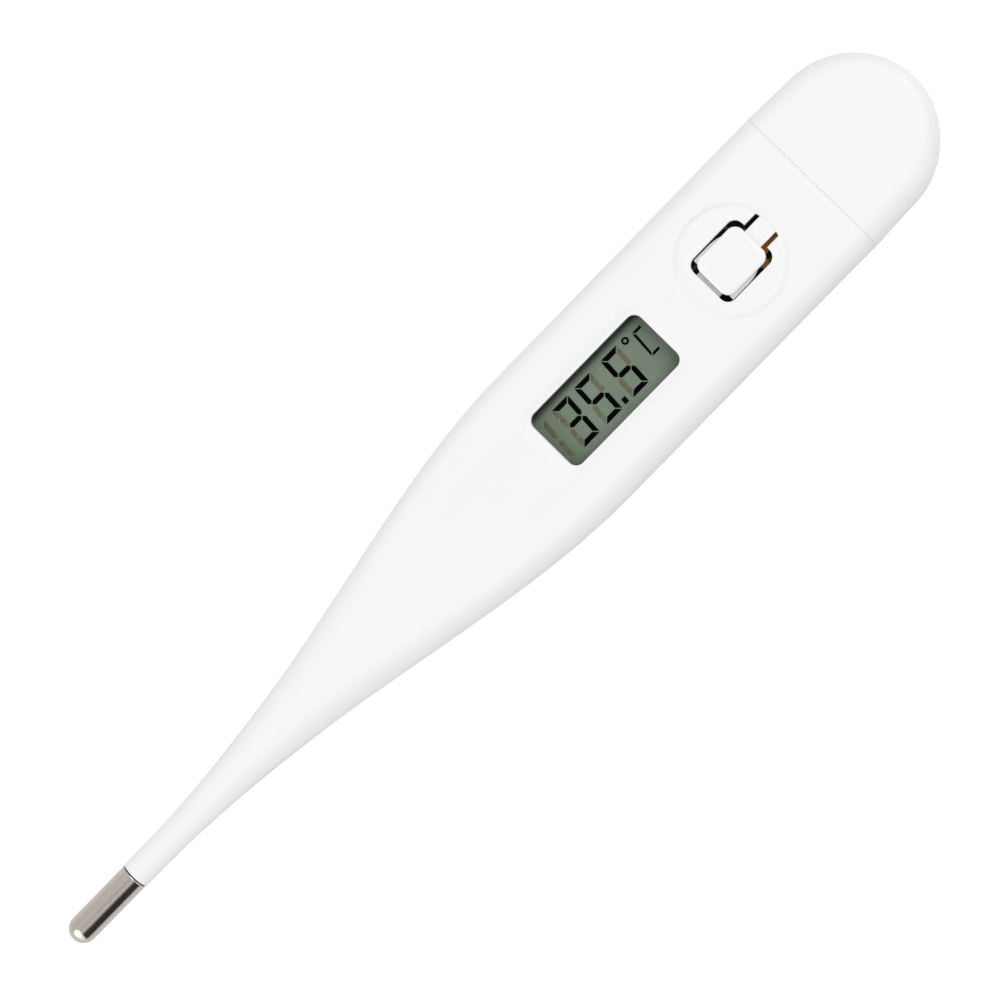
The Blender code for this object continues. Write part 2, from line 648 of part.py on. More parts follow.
def make_cell(parent):
    """A button cell with its can upwards, so that its cap meets the lower contact."""
    can_steel = material("cell_can_steel", (0.62, 0.62, 0.63), 0.22, 1.0)
    nylon = material("cell_gasket_nylon", (0.12, 0.12, 0.12), 0.5)
    cap_steel = material("cell_cap_steel", (0.6, 0.6, 0.6), 0.25, 1.0)
    low, high = CELL_Z
    r = CELL_RADIUS
    lip = r - 0.75
    centre = (CELL_X, 0, 0)
    up = (0, 0, 1)
    can = [(high, 0), (high, r - 0.25), (high - 0.25, r), (low + 0.4, r), (low + 0.2, r - 0.3),
           (low + 0.2, lip), (low + 0.4, lip), (low + 0.5, r - 0.3), (high - 0.25, r - 0.3), (high - 0.25, 0)]
    add_object("cell_can", turned_mesh(can, centre, up, 32), can_steel, parent)
    gasket = [(low + 0.15, lip - 0.25), (low + 0.15, lip - 0.05), (low + 0.55, lip - 0.05),
              (low + 0.55, lip - 0.25)]
    add_object("cell_gasket", turned_mesh(gasket, centre, up, 24), nylon, parent)
    inner = lip - 0.3
    cap = [(low, 0), (low, inner - 0.2), (low + 0.2, inner), (low + 0.6, inner), (low + 0.6, r - 0.4),
           (high - 0.3, r - 0.4), (high - 0.3, 0)]
    add_object("cell_cap", turned_mesh(cap, centre, up, 24), cap_steel, parent)


def main():
    clear_scene()
    root = empty("thermometer", -LENGTH / 2)
    make_body_shell(root)
    make_power_button(root)
    make_battery_cover(root)
    make_display_window(root)
    make_probe(root)
    make_thermistor_wires(root)
    carrier = empty("carrier", 0, root)
    make_inner_carrier(carrier)
    make_board(carrier)
    make_display(carrier)
    make_switch(carrier)
    make_contacts(carrier)
    make_buzzer(carrier)
    make_cell(empty("battery", 0, carrier))


main()
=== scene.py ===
import math

import bmesh
import bpy
from mathutils import Matrix, Vector


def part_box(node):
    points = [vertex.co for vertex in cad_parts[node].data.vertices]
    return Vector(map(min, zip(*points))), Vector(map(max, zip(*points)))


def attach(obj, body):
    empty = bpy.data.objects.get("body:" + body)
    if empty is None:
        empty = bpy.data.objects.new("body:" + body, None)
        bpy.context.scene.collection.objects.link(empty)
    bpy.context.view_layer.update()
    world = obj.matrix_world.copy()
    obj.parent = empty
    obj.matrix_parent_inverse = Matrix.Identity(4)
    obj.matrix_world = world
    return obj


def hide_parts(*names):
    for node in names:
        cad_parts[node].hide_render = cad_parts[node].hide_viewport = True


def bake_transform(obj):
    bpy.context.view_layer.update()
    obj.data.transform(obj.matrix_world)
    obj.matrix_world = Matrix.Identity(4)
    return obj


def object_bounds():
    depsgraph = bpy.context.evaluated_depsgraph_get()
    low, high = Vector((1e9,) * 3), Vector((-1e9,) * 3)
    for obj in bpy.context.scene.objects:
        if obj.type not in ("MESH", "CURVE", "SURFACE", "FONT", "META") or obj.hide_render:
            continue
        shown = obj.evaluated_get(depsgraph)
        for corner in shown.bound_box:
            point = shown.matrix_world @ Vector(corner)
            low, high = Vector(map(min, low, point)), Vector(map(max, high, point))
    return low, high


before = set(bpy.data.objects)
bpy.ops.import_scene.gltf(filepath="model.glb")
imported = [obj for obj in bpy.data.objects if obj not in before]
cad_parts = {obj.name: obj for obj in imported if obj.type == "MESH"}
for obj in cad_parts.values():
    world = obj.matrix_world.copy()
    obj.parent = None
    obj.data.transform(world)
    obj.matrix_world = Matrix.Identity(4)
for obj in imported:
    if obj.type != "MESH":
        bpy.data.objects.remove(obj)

# ------------------------------------------------------------------ the frame
# A pen-type clinical thermometer lies on its flat back with its display up. Every piece below is
# drawn in millimetres, with x running from the probe's end to the tail along the long axis, y across
# it, and z up from the surface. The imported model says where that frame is.

MM = 0.001
cad_low, cad_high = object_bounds()
PROBE_END = cad_low.x
TO_ROW = Matrix.Translation((PROBE_END, 0, 0)) @ Matrix.Scale(MM, 4)


def box_mm(node):
    """Lowest and highest corner of a CAD node in the drawing's millimetres."""
    back = TO_ROW.inverted()
    return tuple(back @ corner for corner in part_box(node))


LENGTH = (cad_high.x - cad_low.x) / MM
FACE_Z = cad_high.z / MM
AXIS_Z = FACE_Z / 2


# ------------------------------------------------------------------ studio
# A white acrylic table as for catalogue work, in a soft tent with a dark flag along one side and a
# small round hole overhead, and a soft box over each end of the object.


def linear(hex_colour):
    """An sRGB hex colour as linear RGBA."""
    channels = [int(hex_colour[i:i + 2], 16) / 255 for i in (0, 2, 4)]
    return (*(c / 12.92 if c <= 0.04045 else ((c + 0.055) / 1.055) ** 2.4 for c in channels), 1.0)


def add(tree, kind, settings=None, inputs=None):
    """Adds a node with its settings. Each input is a value, or the socket that feeds it."""
    node = tree.nodes.new(kind)
    for name, value in (settings or {}).items():
        setattr(node, name, value)
    for name, value in (inputs or {}).items():
        if isinstance(value, bpy.types.NodeSocket):
            tree.links.new(value, node.inputs[name])
        else:
            node.inputs[name].default_value = value
    return node


def blank_finish(name):
    """A material whose tree is empty."""
    finish = bpy.data.materials.new(name)
    finish.use_nodes = True
    finish.node_tree.nodes.clear()
    return finish, finish.node_tree


TABLE_SIZE = 6000
TABLE_COLOUR = "e4e4e6"
TABLE_GLOW = 0.42

finish, tree = blank_finish("opal_acrylic_table")
position = add(tree, "ShaderNodeTexCoord").outputs["Object"]
haze = add(tree, "ShaderNodeTexNoise", None, {"Vector": position, "Scale": 9.0, "Detail": 2.0})
eye = add(tree, "ShaderNodeLightPath").outputs["Is Camera Ray"]
shader = add(tree, "ShaderNodeBsdfPrincipled", None, {
    "Base Color": linear(TABLE_COLOUR), "Specular IOR Level": 0.2, "Emission Color": (1.0, 1.0, 1.0, 1.0),
    "Emission Strength": add(tree, "ShaderNodeMath", {"operation": "MULTIPLY"}, {
        0: eye, 1: TABLE_GLOW}).outputs["Value"],
    "Roughness": add(tree, "ShaderNodeMapRange", None, {
        "Value": haze.outputs["Fac"], "To Min": 0.6, "To Max": 0.75}).outputs["Result"],
})
add(tree, "ShaderNodeOutputMaterial", None, {"Surface": shader.outputs["BSDF"]})

bm = bmesh.new()
bmesh.ops.create_grid(bm, x_segments=2, y_segments=2, size=TABLE_SIZE / 2 * MM)
mesh = bpy.data.meshes.new("studio_table")
bm.to_mesh(mesh)
bm.free()
mesh.materials.append(finish)
table = bpy.data.objects.new("studio_table", mesh)
bpy.context.scene.collection.objects.link(table)

SKY = 0.69
FLAG = 0.03
BESIDE_FLAG = 0.55
BACKDROP = 0.9
FLAG_SIDE = (-0.25, -0.97, 0)
FLAG_ALONG = (0.97, -0.25, 0)
HOLE_AT = (-0.049, 0.075, 0.996)

world = bpy.data.worlds.new("soft_studio")
bpy.context.scene.world = world
world.use_nodes = True
tree = world.node_tree
tree.nodes.clear()
direction = add(tree, "ShaderNodeTexCoord").outputs["Generated"]


def towards(aim):
    """How nearly a direction in the sky points along the aim: 1 along it, 0 across it."""
    return add(tree, "ShaderNodeVectorMath", {"operation": "DOT_PRODUCT"}, {
        0: direction, 1: aim}).outputs["Value"]


low = add(tree, "ShaderNodeMapRange", {"interpolation_type": "SMOOTHSTEP"}, {
    "Value": towards(FLAG_SIDE), "From Min": 0.42, "From Max": 0.64}).outputs["Result"]
aside = add(tree, "ShaderNodeMath", {"operation": "ABSOLUTE"}, {0: towards(FLAG_ALONG)}).outputs["Value"]
near = add(tree, "ShaderNodeMapRange", {"interpolation_type": "SMOOTHSTEP"}, {
    "Value": aside, "From Min": 0.24, "From Max": 0.44, "To Min": 1.0, "To Max": 0.0}).outputs["Result"]
flag = add(tree, "ShaderNodeMath", {"operation": "MULTIPLY"}, {0: low, 1: near}).outputs["Value"]
hole = add(tree, "ShaderNodeMapRange", {"interpolation_type": "SMOOTHSTEP"}, {
    "Value": towards(HOLE_AT), "From Min": 0.982, "From Max": 0.991}).outputs["Result"]
dark = add(tree, "ShaderNodeMath", {"operation": "MAXIMUM"}, {0: flag, 1: hole}).outputs["Value"]
open_sky = add(tree, "ShaderNodeMapRange", None, {
    "Value": dark, "To Min": SKY, "To Max": FLAG}).outputs["Result"]
beside = add(tree, "ShaderNodeMath", {"operation": "SUBTRACT"}, {0: low, 1: flag}).outputs["Value"]
sky = add(tree, "ShaderNodeMath", {"operation": "MULTIPLY_ADD"}, {
    0: beside, 1: BESIDE_FLAG, 2: open_sky}).outputs["Value"]
eye = add(tree, "ShaderNodeLightPath").outputs["Is Camera Ray"]
strength = add(tree, "ShaderNodeMix", {"data_type": "FLOAT"}, {"Factor": eye, "A": sky, "B": BACKDROP})
light = add(tree, "ShaderNodeBackground", None, {
    "Color": (1.0, 0.995, 0.985, 1.0), "Strength": strength.outputs["Result"]})
add(tree, "ShaderNodeOutputWorld", None, {"Surface": light.outputs["Background"]})

SOFT_BOX_DISTANCE = 1.1
SOFT_BOX_POWER = 4.0

for name, side, rise, size in (("probe_end", -1, 36, 1.05), ("tail_end", 1, 50, 0.8)):
    lamp = bpy.data.lights.new("soft_box_" + name, "AREA")
    lamp.shape = "DISK"
    lamp.size = size
    lamp.energy = SOFT_BOX_POWER
    box = bpy.data.objects.new(lamp.name, lamp)
    bpy.context.scene.collection.objects.link(box)
    rise = math.radians(rise)
    away = Vector((side * math.cos(rise), 0, math.sin(rise)))
    box.location = away * SOFT_BOX_DISTANCE
    box.rotation_euler = away.to_track_quat("Z", "Y").to_euler()
    box.visible_camera = False

CAMERA_PLACE = Vector((100.0, -28.0, 383.0))
CAMERA_AIM = Vector((65.54, 0.18, AXIS_Z))
CAMERA_ROLL = math.radians(45.5)
CAMERA_ANGLE = math.radians(15.716)

camera = bpy.data.objects.new("camera", bpy.data.cameras.new("camera"))
bpy.context.scene.collection.objects.link(camera)
bpy.context.scene.camera = camera
camera.data.angle = CAMERA_ANGLE
camera.data.clip_start = 0.01
camera.data.clip_end = 10.0
look = (CAMERA_AIM - CAMERA_PLACE).normalized()
right = look.cross(Vector((math.sin(CAMERA_ROLL), math.cos(CAMERA_ROLL), 0))).normalized()
up = right.cross(look)
turn = Matrix((right, up, -look)).transposed()
camera.matrix_world = Matrix.Translation(TO_ROW @ CAMERA_PLACE) @ turn.to_4x4()
bpy.context.scene.view_settings.view_transform = "Standard"


# ------------------------------------------------------------------ body shell
# One injection moulding in white ABS, a slim round probe that swells into a flat oval grip. Its skin
# has the fine even grain of a spark-eroded mould. The display opening, the dish round the button and
# the slots beside the button's arm are moulded in, and a stepped neck takes the battery cover.


def geometry_tree(name, sizes):
    """A Geometry Nodes tree with named inputs. Returns it with its input sockets."""
    tree = bpy.data.node_groups.new(name, "GeometryNodeTree")
    for label, kind in {"Geometry": "Geometry", **sizes, "Finish": "Material"}.items():
        tree.interface.new_socket(label, in_out="INPUT", socket_type="NodeSocket" + kind)
    tree.interface.new_socket("Geometry", in_out="OUTPUT", socket_type="NodeSocketGeometry")
    return tree, tree.nodes.new("NodeGroupInput").outputs


def close_tree(tree, geometry, finish):
    """Ends a tree with real geometry that carries its material."""
    real = add(tree, "GeometryNodeRealizeInstances", None, {"Geometry": geometry})
    dressed = add(tree, "GeometryNodeSetMaterial", None, {
        "Geometry": real.outputs["Geometry"], "Material": finish})
    add(tree, "NodeGroupOutput", None, {"Geometry": dressed.outputs["Geometry"]})


def grown(tree, values, start=None):
    """Runs a tree on a helper object and returns what it makes as a plain mesh."""
    helper = bpy.data.objects.new("helper", start or bpy.data.meshes.new("helper"))
    bpy.context.scene.collection.objects.link(helper)
    step = helper.modifiers.new("grow", "NODES")
    step.node_group = tree
    for item in tree.interface.items_tree:
        if item.in_out == "INPUT" and item.name in values:
            step[item.identifier] = values[item.name]
    bpy.context.view_layer.update()
    done = helper.evaluated_get(bpy.context.evaluated_depsgraph_get())
    mesh = bpy.data.meshes.new_from_object(done)
    bpy.data.objects.remove(helper)
    return mesh


def loft(rings):
    """A closed skin over rings of equally many points, with flat ends."""
    bm = bmesh.new()
    rows = [[bm.verts.new(point) for point in ring] for ring in rings]
    count = len(rows[0])
    for low, high in zip(rows, rows[1:]):
        for i in range(count):
            j = (i + 1) % count
            bm.faces.new((low[i], low[j], high[j], high[i]))
    bm.faces.new(rows[0][::-1])
    bm.faces.new(rows[-1])
    bmesh.ops.recalc_face_normals(bm, faces=bm.faces)
    return as_mesh(bm)


def as_mesh(bm):
    mesh = bpy.data.meshes.new("drawn")
    bm.to_mesh(mesh)
    bm.free()
    return mesh


def turned(profile, centre, axis, steps):
    """Turns (along, radius) points round an axis. The profile ends on the axis or closes on itself."""
    out = Vector((0, 0, 1)) if axis[0] else Vector((1, 0, 0))
    bm = bmesh.new()
    points = [bm.verts.new(Vector(centre) + Vector(axis) * a + out * r) for a, r in profile]
    pairs = list(zip(points, points[1:]))
    if profile[0][1] > 0:
        pairs.append((points[-1], points[0]))
    edges = [bm.edges.new(pair) for pair in pairs]
    bmesh.ops.spin(bm, geom=points + edges, cent=centre, axis=axis, dvec=(0, 0, 0),
                   angle=2 * math.pi, steps=steps, use_merge=True)
    bmesh.ops.remove_doubles(bm, verts=bm.verts, dist=0.0005)
    bmesh.ops.recalc_face_normals(bm, faces=bm.faces)
    return as_mesh(bm)


def rounded_rectangle(xs, half_y, corner, z, grow=0.0, steps=10):
    """Points of a rectangle with round corners, centred on the long axis."""
    x0, x1 = xs[0] - grow, xs[1] + grow
    y, r = half_y + grow, corner + grow
    ring = []
    for cx, cy, start in (
            (x1 - r, y - r, 0), (x0 + r, y - r, 90), (x0 + r, r - y, 180), (x1 - r, r - y, 270)):
        for i in range(steps + 1):
            turn = math.radians(start + 90 * i / steps)
            ring.append((cx + r * math.cos(turn), cy + r * math.sin(turn), z))
    return ring


def worked(mesh, joined=(), cut=(), bevel=0.0, sharp=33):
    """Joins meshes to a mesh, cuts others away, rounds its edges if asked, and evens its shading."""
    helper = bpy.data.objects.new("helper", mesh)
    bpy.context.scene.collection.objects.link(helper)
    tools = []
    for operation, shapes in (("UNION", joined), ("DIFFERENCE", cut)):
        for shape in shapes:
            tool = bpy.data.objects.new("tool", shape)
            bpy.context.scene.collection.objects.link(tool)
            tool.hide_render = True
            tools.append(tool)
            step = helper.modifiers.new("work", "BOOLEAN")
            step.operation = operation
            step.object = tool
            step.solver = "EXACT"
    if bevel:
        step = helper.modifiers.new("round", "BEVEL")
        step.width = bevel
        step.segments = 3
        step.limit_method = "ANGLE"
        step.angle_limit = math.radians(40)
        step.use_clamp_overlap = True
    for stage in ("shape", "shading"):
        bpy.context.view_layer.update()
        done = helper.evaluated_get(bpy.context.evaluated_depsgraph_get())
        mesh = bpy.data.meshes.new_from_object(done)
        helper.modifiers.clear()
        if stage == "shape":
            mesh.shade_smooth()
            mesh.set_sharp_from_angle(angle=math.radians(sharp))
            helper.data = mesh
            helper.modifiers.new("even", "WEIGHTED_NORMAL").keep_sharp = True
    for obj in (helper, *tools):
        bpy.data.objects.remove(obj)
    return mesh


def finished(name, mesh, finish, slot, *nodes):
    """Makes a piece of a mesh drawn in millimetres. It stands for the CAD nodes named."""
    mesh.name = name
    mesh.transform(TO_ROW)
    mesh.materials.clear()
    mesh.materials.append(finish)
    piece = bpy.data.objects.new(name, mesh)
    bpy.context.scene.collection.objects.link(piece)
    if nodes:
        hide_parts(*nodes)
    return piece


HALF_WIDTH = cad_high.y / MM
HALF_THICKNESS = AXIS_Z
NECK_RADIUS = 1.64
NECK_X = 9.7
WIDE_FROM_X = 75.0
WIDTH_BEND = 1.185
THICK_FROM_X = 66.0
THICKNESS_BEND = 1.15
EDGE_ACROSS = 2.3
EDGE_DOWN = 3.2
SEAM_X = 111.9
WALL = 1.1
SPIGOT_RADIUS = 1.34
SPIGOT_BORE = 0.72
NECK_STEP = (1.25, 1.0)
SEAM_ROUND = 0.035

# The skin's rule: the half width and the half thickness each swell from the probe's radius along a
# smooth step, and the corners change with them from a full round into the fillets of the grip.
tree, given = geometry_tree("casing_skin", {
    "Start": "Float", "End": "Float", "Stations": "Int", "Round": "Int", "Wall": "Float",
    "Neck Radius": "Float", "Half Width": "Float", "Half Thickness": "Float",
    "Edge Across": "Float", "Edge Down": "Float",
})
tube = add(tree, "GeometryNodeMeshCylinder", {"fill_type": "NGON"}, {
    "Vertices": given["Round"], "Side Segments": given["Stations"], "Radius": 1.0, "Depth": 1.0})
place = add(tree, "ShaderNodeSeparateXYZ", None, {
    0: add(tree, "GeometryNodeInputPosition").outputs["Position"]})
x = add(tree, "ShaderNodeMapRange", None, {
    "Value": place.outputs["Z"], "From Min": -0.5, "From Max": 0.5,
    "To Min": given["Start"], "To Max": given["End"]}).outputs["Result"]


def swell(last_x, bend, grip):
    """Sockets for how far the casing has swelled at x, and for the size it then has."""
    share = add(tree, "ShaderNodeMapRange", {"clamp": True}, {
        "Value": x, "From Min": NECK_X, "From Max": last_x}).outputs["Result"]
    bent = add(tree, "ShaderNodeMath", {"operation": "POWER"}, {0: share, 1: bend}).outputs["Value"]
    return add(tree, "ShaderNodeMapRange", {"interpolation_type": "SMOOTHSTEP"}, {
        "Value": bent, "To Min": given["Neck Radius"], "To Max": grip}).outputs["Result"]


width = swell(WIDE_FROM_X, WIDTH_BEND, given["Half Width"])
thickness = swell(THICK_FROM_X, THICKNESS_BEND, given["Half Thickness"])
squared = add(tree, "ShaderNodeMapRange", {"interpolation_type": "SMOOTHSTEP"}, {
    "Value": x, "From Min": NECK_X, "From Max": WIDE_FROM_X - 10}).outputs["Result"]
angle = add(tree, "ShaderNodeMath", {"operation": "ARCTAN2"}, {
    0: place.outputs["Y"], 1: place.outputs["X"]}).outputs["Value"]
quarter = add(tree, "ShaderNodeMath", {"operation": "FLOORED_MODULO"}, {
    0: angle, 1: math.pi / 2}).outputs["Value"]
half_step = add(tree, "ShaderNodeMath", {"operation": "DIVIDE"}, {
    0: math.pi, 1: given["Round"]}).outputs["Value"]
last_step = add(tree, "ShaderNodeMath", {"operation": "SUBTRACT"}, {
    0: math.pi / 2, 1: half_step}).outputs["Value"]
in_corner = add(tree, "ShaderNodeMapRange", None, {
    "Value": quarter, "From Min": half_step, "From Max": last_step,
    "To Max": math.pi / 2}).outputs["Result"]
before = add(tree, "ShaderNodeMath", {"operation": "SUBTRACT"}, {0: angle, 1: quarter}).outputs["Value"]
turned_to = add(tree, "ShaderNodeMath", {"operation": "ADD"}, {0: before, 1: in_corner}).outputs["Value"]
sides = []
for wave, size, edge in (("COSINE", width, given["Edge Across"]), ("SINE", thickness, given["Edge Down"])):
    corner = add(tree, "ShaderNodeMix", {"data_type": "FLOAT"}, {
        "Factor": squared, "A": size, "B": edge}).outputs["Result"]
    reach = add(tree, "ShaderNodeMath", {"operation": "SUBTRACT"}, {0: size, 1: corner}).outputs["Value"]
    side = add(tree, "ShaderNodeMath", {"operation": "SIGN"}, {
        0: add(tree, "ShaderNodeMath", {"operation": wave}, {0: angle}).outputs["Value"]}).outputs["Value"]
    middle = add(tree, "ShaderNodeMath", {"operation": "MULTIPLY"}, {0: side, 1: reach}).outputs["Value"]
    thin = add(tree, "ShaderNodeMath", {"operation": "SUBTRACT"}, {
        0: corner, 1: given["Wall"]}).outputs["Value"]
    bow = add(tree, "ShaderNodeMath", {"operation": wave}, {0: turned_to}).outputs["Value"]
    sides.append(add(tree, "ShaderNodeMath", {"operation": "MULTIPLY_ADD"}, {
        0: bow, 1: thin, 2: middle}).outputs["Value"])
height = add(tree, "ShaderNodeMath", {"operation": "ADD"}, {0: sides[1], 1: AXIS_Z}).outputs["Value"]
spot = add(tree, "ShaderNodeCombineXYZ", None, {"X": x, "Y": sides[0], "Z": height}).outputs["Vector"]
skin = add(tree, "GeometryNodeSetPosition", None, {"Geometry": tube.outputs["Mesh"], "Position": spot})
close_tree(tree, skin.outputs["Geometry"], given["Finish"])
casing_skin = tree

finish, tree = blank_finish("white_spark_eroded_abs")
# Fine even grain that breaks the shine into a satin, a faint cloudiness where the melt flowed along
# the tool, and light that enters the plastic a little at thin edges.
position = add(tree, "ShaderNodeTexCoord").outputs["Object"]
GRAIN = 0.22
FLOW = (22, 5, 5)
grain = add(tree, "ShaderNodeTexNoise", None, {
    "Vector": position, "Scale": 1 / (GRAIN * MM), "Detail": 3.0, "Roughness": 0.6})
stretched = add(tree, "ShaderNodeMapping", {"vector_type": "TEXTURE"}, {
    "Vector": position, "Scale": [MM * size for size in FLOW]}).outputs["Vector"]
flow = add(tree, "ShaderNodeTexNoise", None, {"Vector": stretched, "Scale": 1.0, "Detail": 3.0})
tone = add(tree, "ShaderNodeMix", {"data_type": "RGBA"}, {
    "Factor": flow.outputs["Fac"], "A": linear("f1f1f3"), "B": linear("f4f4f5")}).outputs["Result"]
satin = add(tree, "ShaderNodeMapRange", None, {
    "Value": grain.outputs["Fac"], "From Min": 0.3, "From Max": 0.7, "To Min": 0.42, "To Max": 0.5})
bump = add(tree, "ShaderNodeBump", None, {
    "Height": grain.outputs["Fac"], "Strength": 0.12, "Distance": 0.02 * MM})
shader = add(tree, "ShaderNodeBsdfPrincipled", None, {
    "Base Color": tone, "Roughness": satin.outputs["Result"], "IOR": 1.52,
    "Subsurface Weight": 0.12, "Subsurface Radius": (1.0, 0.9, 0.9), "Subsurface Scale": 0.4 * MM,
    "Normal": bump.outputs["Normal"]})
add(tree, "ShaderNodeOutputMaterial", None, {"Surface": shader.outputs["BSDF"]})
white_abs = finish


def skin_mesh(start, end, stations, around, wall):
    """The casing's skin between two stations, or a smaller copy of it inside the wall."""
    return grown(casing_skin, {
        "Start": start, "End": end, "Stations": stations, "Round": around, "Wall": wall,
        "Neck Radius": NECK_RADIUS, "Half Width": HALF_WIDTH, "Half Thickness": HALF_THICKNESS,
        "Edge Across": EDGE_ACROSS, "Edge Down": EDGE_DOWN, "Finish": white_abs})


def oval(x, width, height, across, down, steps=8):
    """A ring across the object: a rectangle whose corners are quarter ellipses."""
    ring = []
    for sy, sz, start in ((1, 1, 0), (-1, 1, 90), (-1, -1, 180), (1, -1, 270)):
        for i in range(steps + 1):
            turn = math.radians(start + 90 * i / steps)
            y = sy * (width - across) + across * math.cos(turn)
            z = sz * (height - down) + down * math.sin(turn)
            ring.append((x, y, AXIS_Z + z))
    return ring


def round_rim(mesh, x, radius):
    """Rounds the edge of the flat end that lies at x."""
    bm = bmesh.new()
    bm.from_mesh(mesh)
    bm.normal_update()
    rim = []
    for edge in bm.edges:
        flat = [face for face in edge.link_faces if abs(face.normal.x) > 0.99]
        if len(flat) == 1 and all(abs(v.co.x - x) < 0.001 for v in edge.verts):
            rim.append(edge)
    bmesh.ops.bevel(bm, geom=rim, offset=radius, segments=3, profile=0.5, affect="EDGES")
    bm.to_mesh(mesh)
    bm.free()
    return mesh


def smooth_step(t):
    return t * t * (3 - 2 * t)


# Display opening, with a soft shoulder round it
WINDOW_X = (73.77, 89.69)
WINDOW_HALF_Y = 3.62
WINDOW_CORNER = 1.05
WINDOW_EDGE = 0.05
SHOULDER = 1.0
SHOULDER_DEPTH = 0.26

levels = [(0.0, FACE_Z - 2.5), (0.0, FACE_Z - SHOULDER_DEPTH - WINDOW_EDGE)]
for i in range(1, 5):
    turn = math.pi / 2 * i / 4
    levels.append((WINDOW_EDGE * (1 - math.cos(turn)),
                   FACE_Z - SHOULDER_DEPTH - WINDOW_EDGE * (1 - math.sin(turn))))
for i in range(1, 11):
    levels.append((WINDOW_EDGE + SHOULDER * i / 10, FACE_Z - SHOULDER_DEPTH * (1 - smooth_step(i / 10))))
levels.append((levels[-1][0], FACE_Z + 1))
opening = loft([rounded_rectangle(WINDOW_X, WINDOW_HALF_Y, WINDOW_CORNER, z, grow) for grow, z in levels])

# Dish round the button, with a soft rim, and the hole and slots that free the button's arm
DISH_X = 100.33
DISH_FLOOR = 5.52
DISH_RIM = 0.62
DISH_DEPTH = 0.35
DISH_Z = FACE_Z - DISH_DEPTH
HOLE_X = (96.79, 103.88)
HOLE_HALF_Y = 3.02
HOLE_CORNER = 1.05
HOLE_EDGE = 0.05
ARM_HALF_Y = 1.15
ARM_SLOT = 0.5
ROOT_RADIUS = 5.48

profile = [(DISH_Z, 0)]
for i in range(13):
    profile.append((DISH_Z + DISH_DEPTH * smooth_step(i / 12), DISH_FLOOR + DISH_RIM * i / 12))
profile += [(FACE_Z + 1, DISH_FLOOR + DISH_RIM), (FACE_Z + 1, 0)]
dish = turned(profile, (DISH_X, 0, 0), (0, 0, 1), 96)


def eased(ring_at):
    """Heights of a cutter whose edge opens a little where it meets the dish's floor."""
    steps = ((0.0, DISH_Z - 2.0), (0.0, DISH_Z - HOLE_EDGE), (0.3 * HOLE_EDGE, DISH_Z - 0.3 * HOLE_EDGE),
             (HOLE_EDGE, DISH_Z), (HOLE_EDGE, FACE_Z + 1))
    return loft([ring_at(grow, z) for grow, z in steps])


def root_arc(half_y, steps=8):
    """Points of the arc where the arm springs from the dish, from one side to the other."""
    arc = []
    for i in range(steps + 1):
        y = half_y * (2 * i / steps - 1)
        arc.append((DISH_X + math.sqrt(ROOT_RADIUS**2 - y * y), y))
    return arc


def slot_ring(grow, z):
    reach = ARM_HALF_Y + ARM_SLOT + grow
    start = HOLE_X[1] - 1.2
    return [(start, -reach, z), *((x, y, z) for x, y in root_arc(reach)), (start, reach, z)]


hole = eased(lambda grow, z: rounded_rectangle(HOLE_X, HOLE_HALF_Y, HOLE_CORNER, z, grow, 8))
slots = eased(slot_ring)

skin = skin_mesh(NECK_X, SEAM_X, 150, 72, 0.0)
skin = round_rim(skin, SEAM_X, SEAM_ROUND)
LEAD_IN = 0.2
SPIGOT_X = 5.0
spigot = turned(
    [(SPIGOT_X, 0), (SPIGOT_X, SPIGOT_RADIUS - LEAD_IN), (SPIGOT_X + LEAD_IN, SPIGOT_RADIUS),
     (NECK_X + 1, SPIGOT_RADIUS), (NECK_X + 1, 0)], (0, 0, AXIS_Z), (1, 0, 0), 40)
NECK_END_X = 117.7
NECK_LEAD = 0.4
neck_size = [HALF_WIDTH - NECK_STEP[0], HALF_THICKNESS - NECK_STEP[1]]
neck = loft([oval(x, neck_size[0] - slim, neck_size[1] - slim, EDGE_ACROSS - 0.8, EDGE_DOWN - 0.8)
             for x, slim in ((SEAM_X - 1, 0), (NECK_END_X - NECK_LEAD, 0), (NECK_END_X, 0.25))])
NECK_WALL = 0.75
HOLLOW_X = (NECK_X + 5, SEAM_X - 1.5)


def carried_on(mesh, end_x, stages):
    """Carries the flat end that lies at x on through stages of (x, half width, half height)."""
    bm = bmesh.new()
    bm.from_mesh(mesh)
    end = next(face for face in bm.faces if all(abs(v.co.x - end_x) < 0.001 for v in face.verts))
    for x, half_y, half_z in stages:
        end = bmesh.ops.extrude_discrete_faces(bm, faces=[end])["faces"][0]
        wide = half_y / max(v.co.y for v in end.verts)
        tall = half_z / max(v.co.z - AXIS_Z for v in end.verts)
        for v in end.verts:
            v.co = (x, v.co.y * wide, AXIS_Z + (v.co.z - AXIS_Z) * tall)
    bmesh.ops.recalc_face_normals(bm, faces=bm.faces)
    return as_mesh(bm)


hollow = skin_mesh(*HOLLOW_X, 60, 44, WALL)
hollow = carried_on(hollow, HOLLOW_X[0], [(x, SPIGOT_BORE, SPIGOT_BORE) for x in (NECK_X + 3, SPIGOT_X - 1)])
mouth_size = [size - NECK_WALL for size in neck_size]
hollow = carried_on(hollow, HOLLOW_X[1], [(x, *mouth_size) for x in (HOLLOW_X[1], NECK_END_X + 1)])
mesh = worked(skin, [spigot, neck], [hollow, opening, dish, hole, slots])
shell = finished("body_moulding", mesh, white_abs, "white_casing", "body_shell")
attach(shell, "body")


# ------------------------------------------------------------------ power button
# A small white moulding with a flat pad, a flange below it that stops it in its hole, and a thin arm
# that bends where it springs from the dish. It is polished smoother than the casing round it.

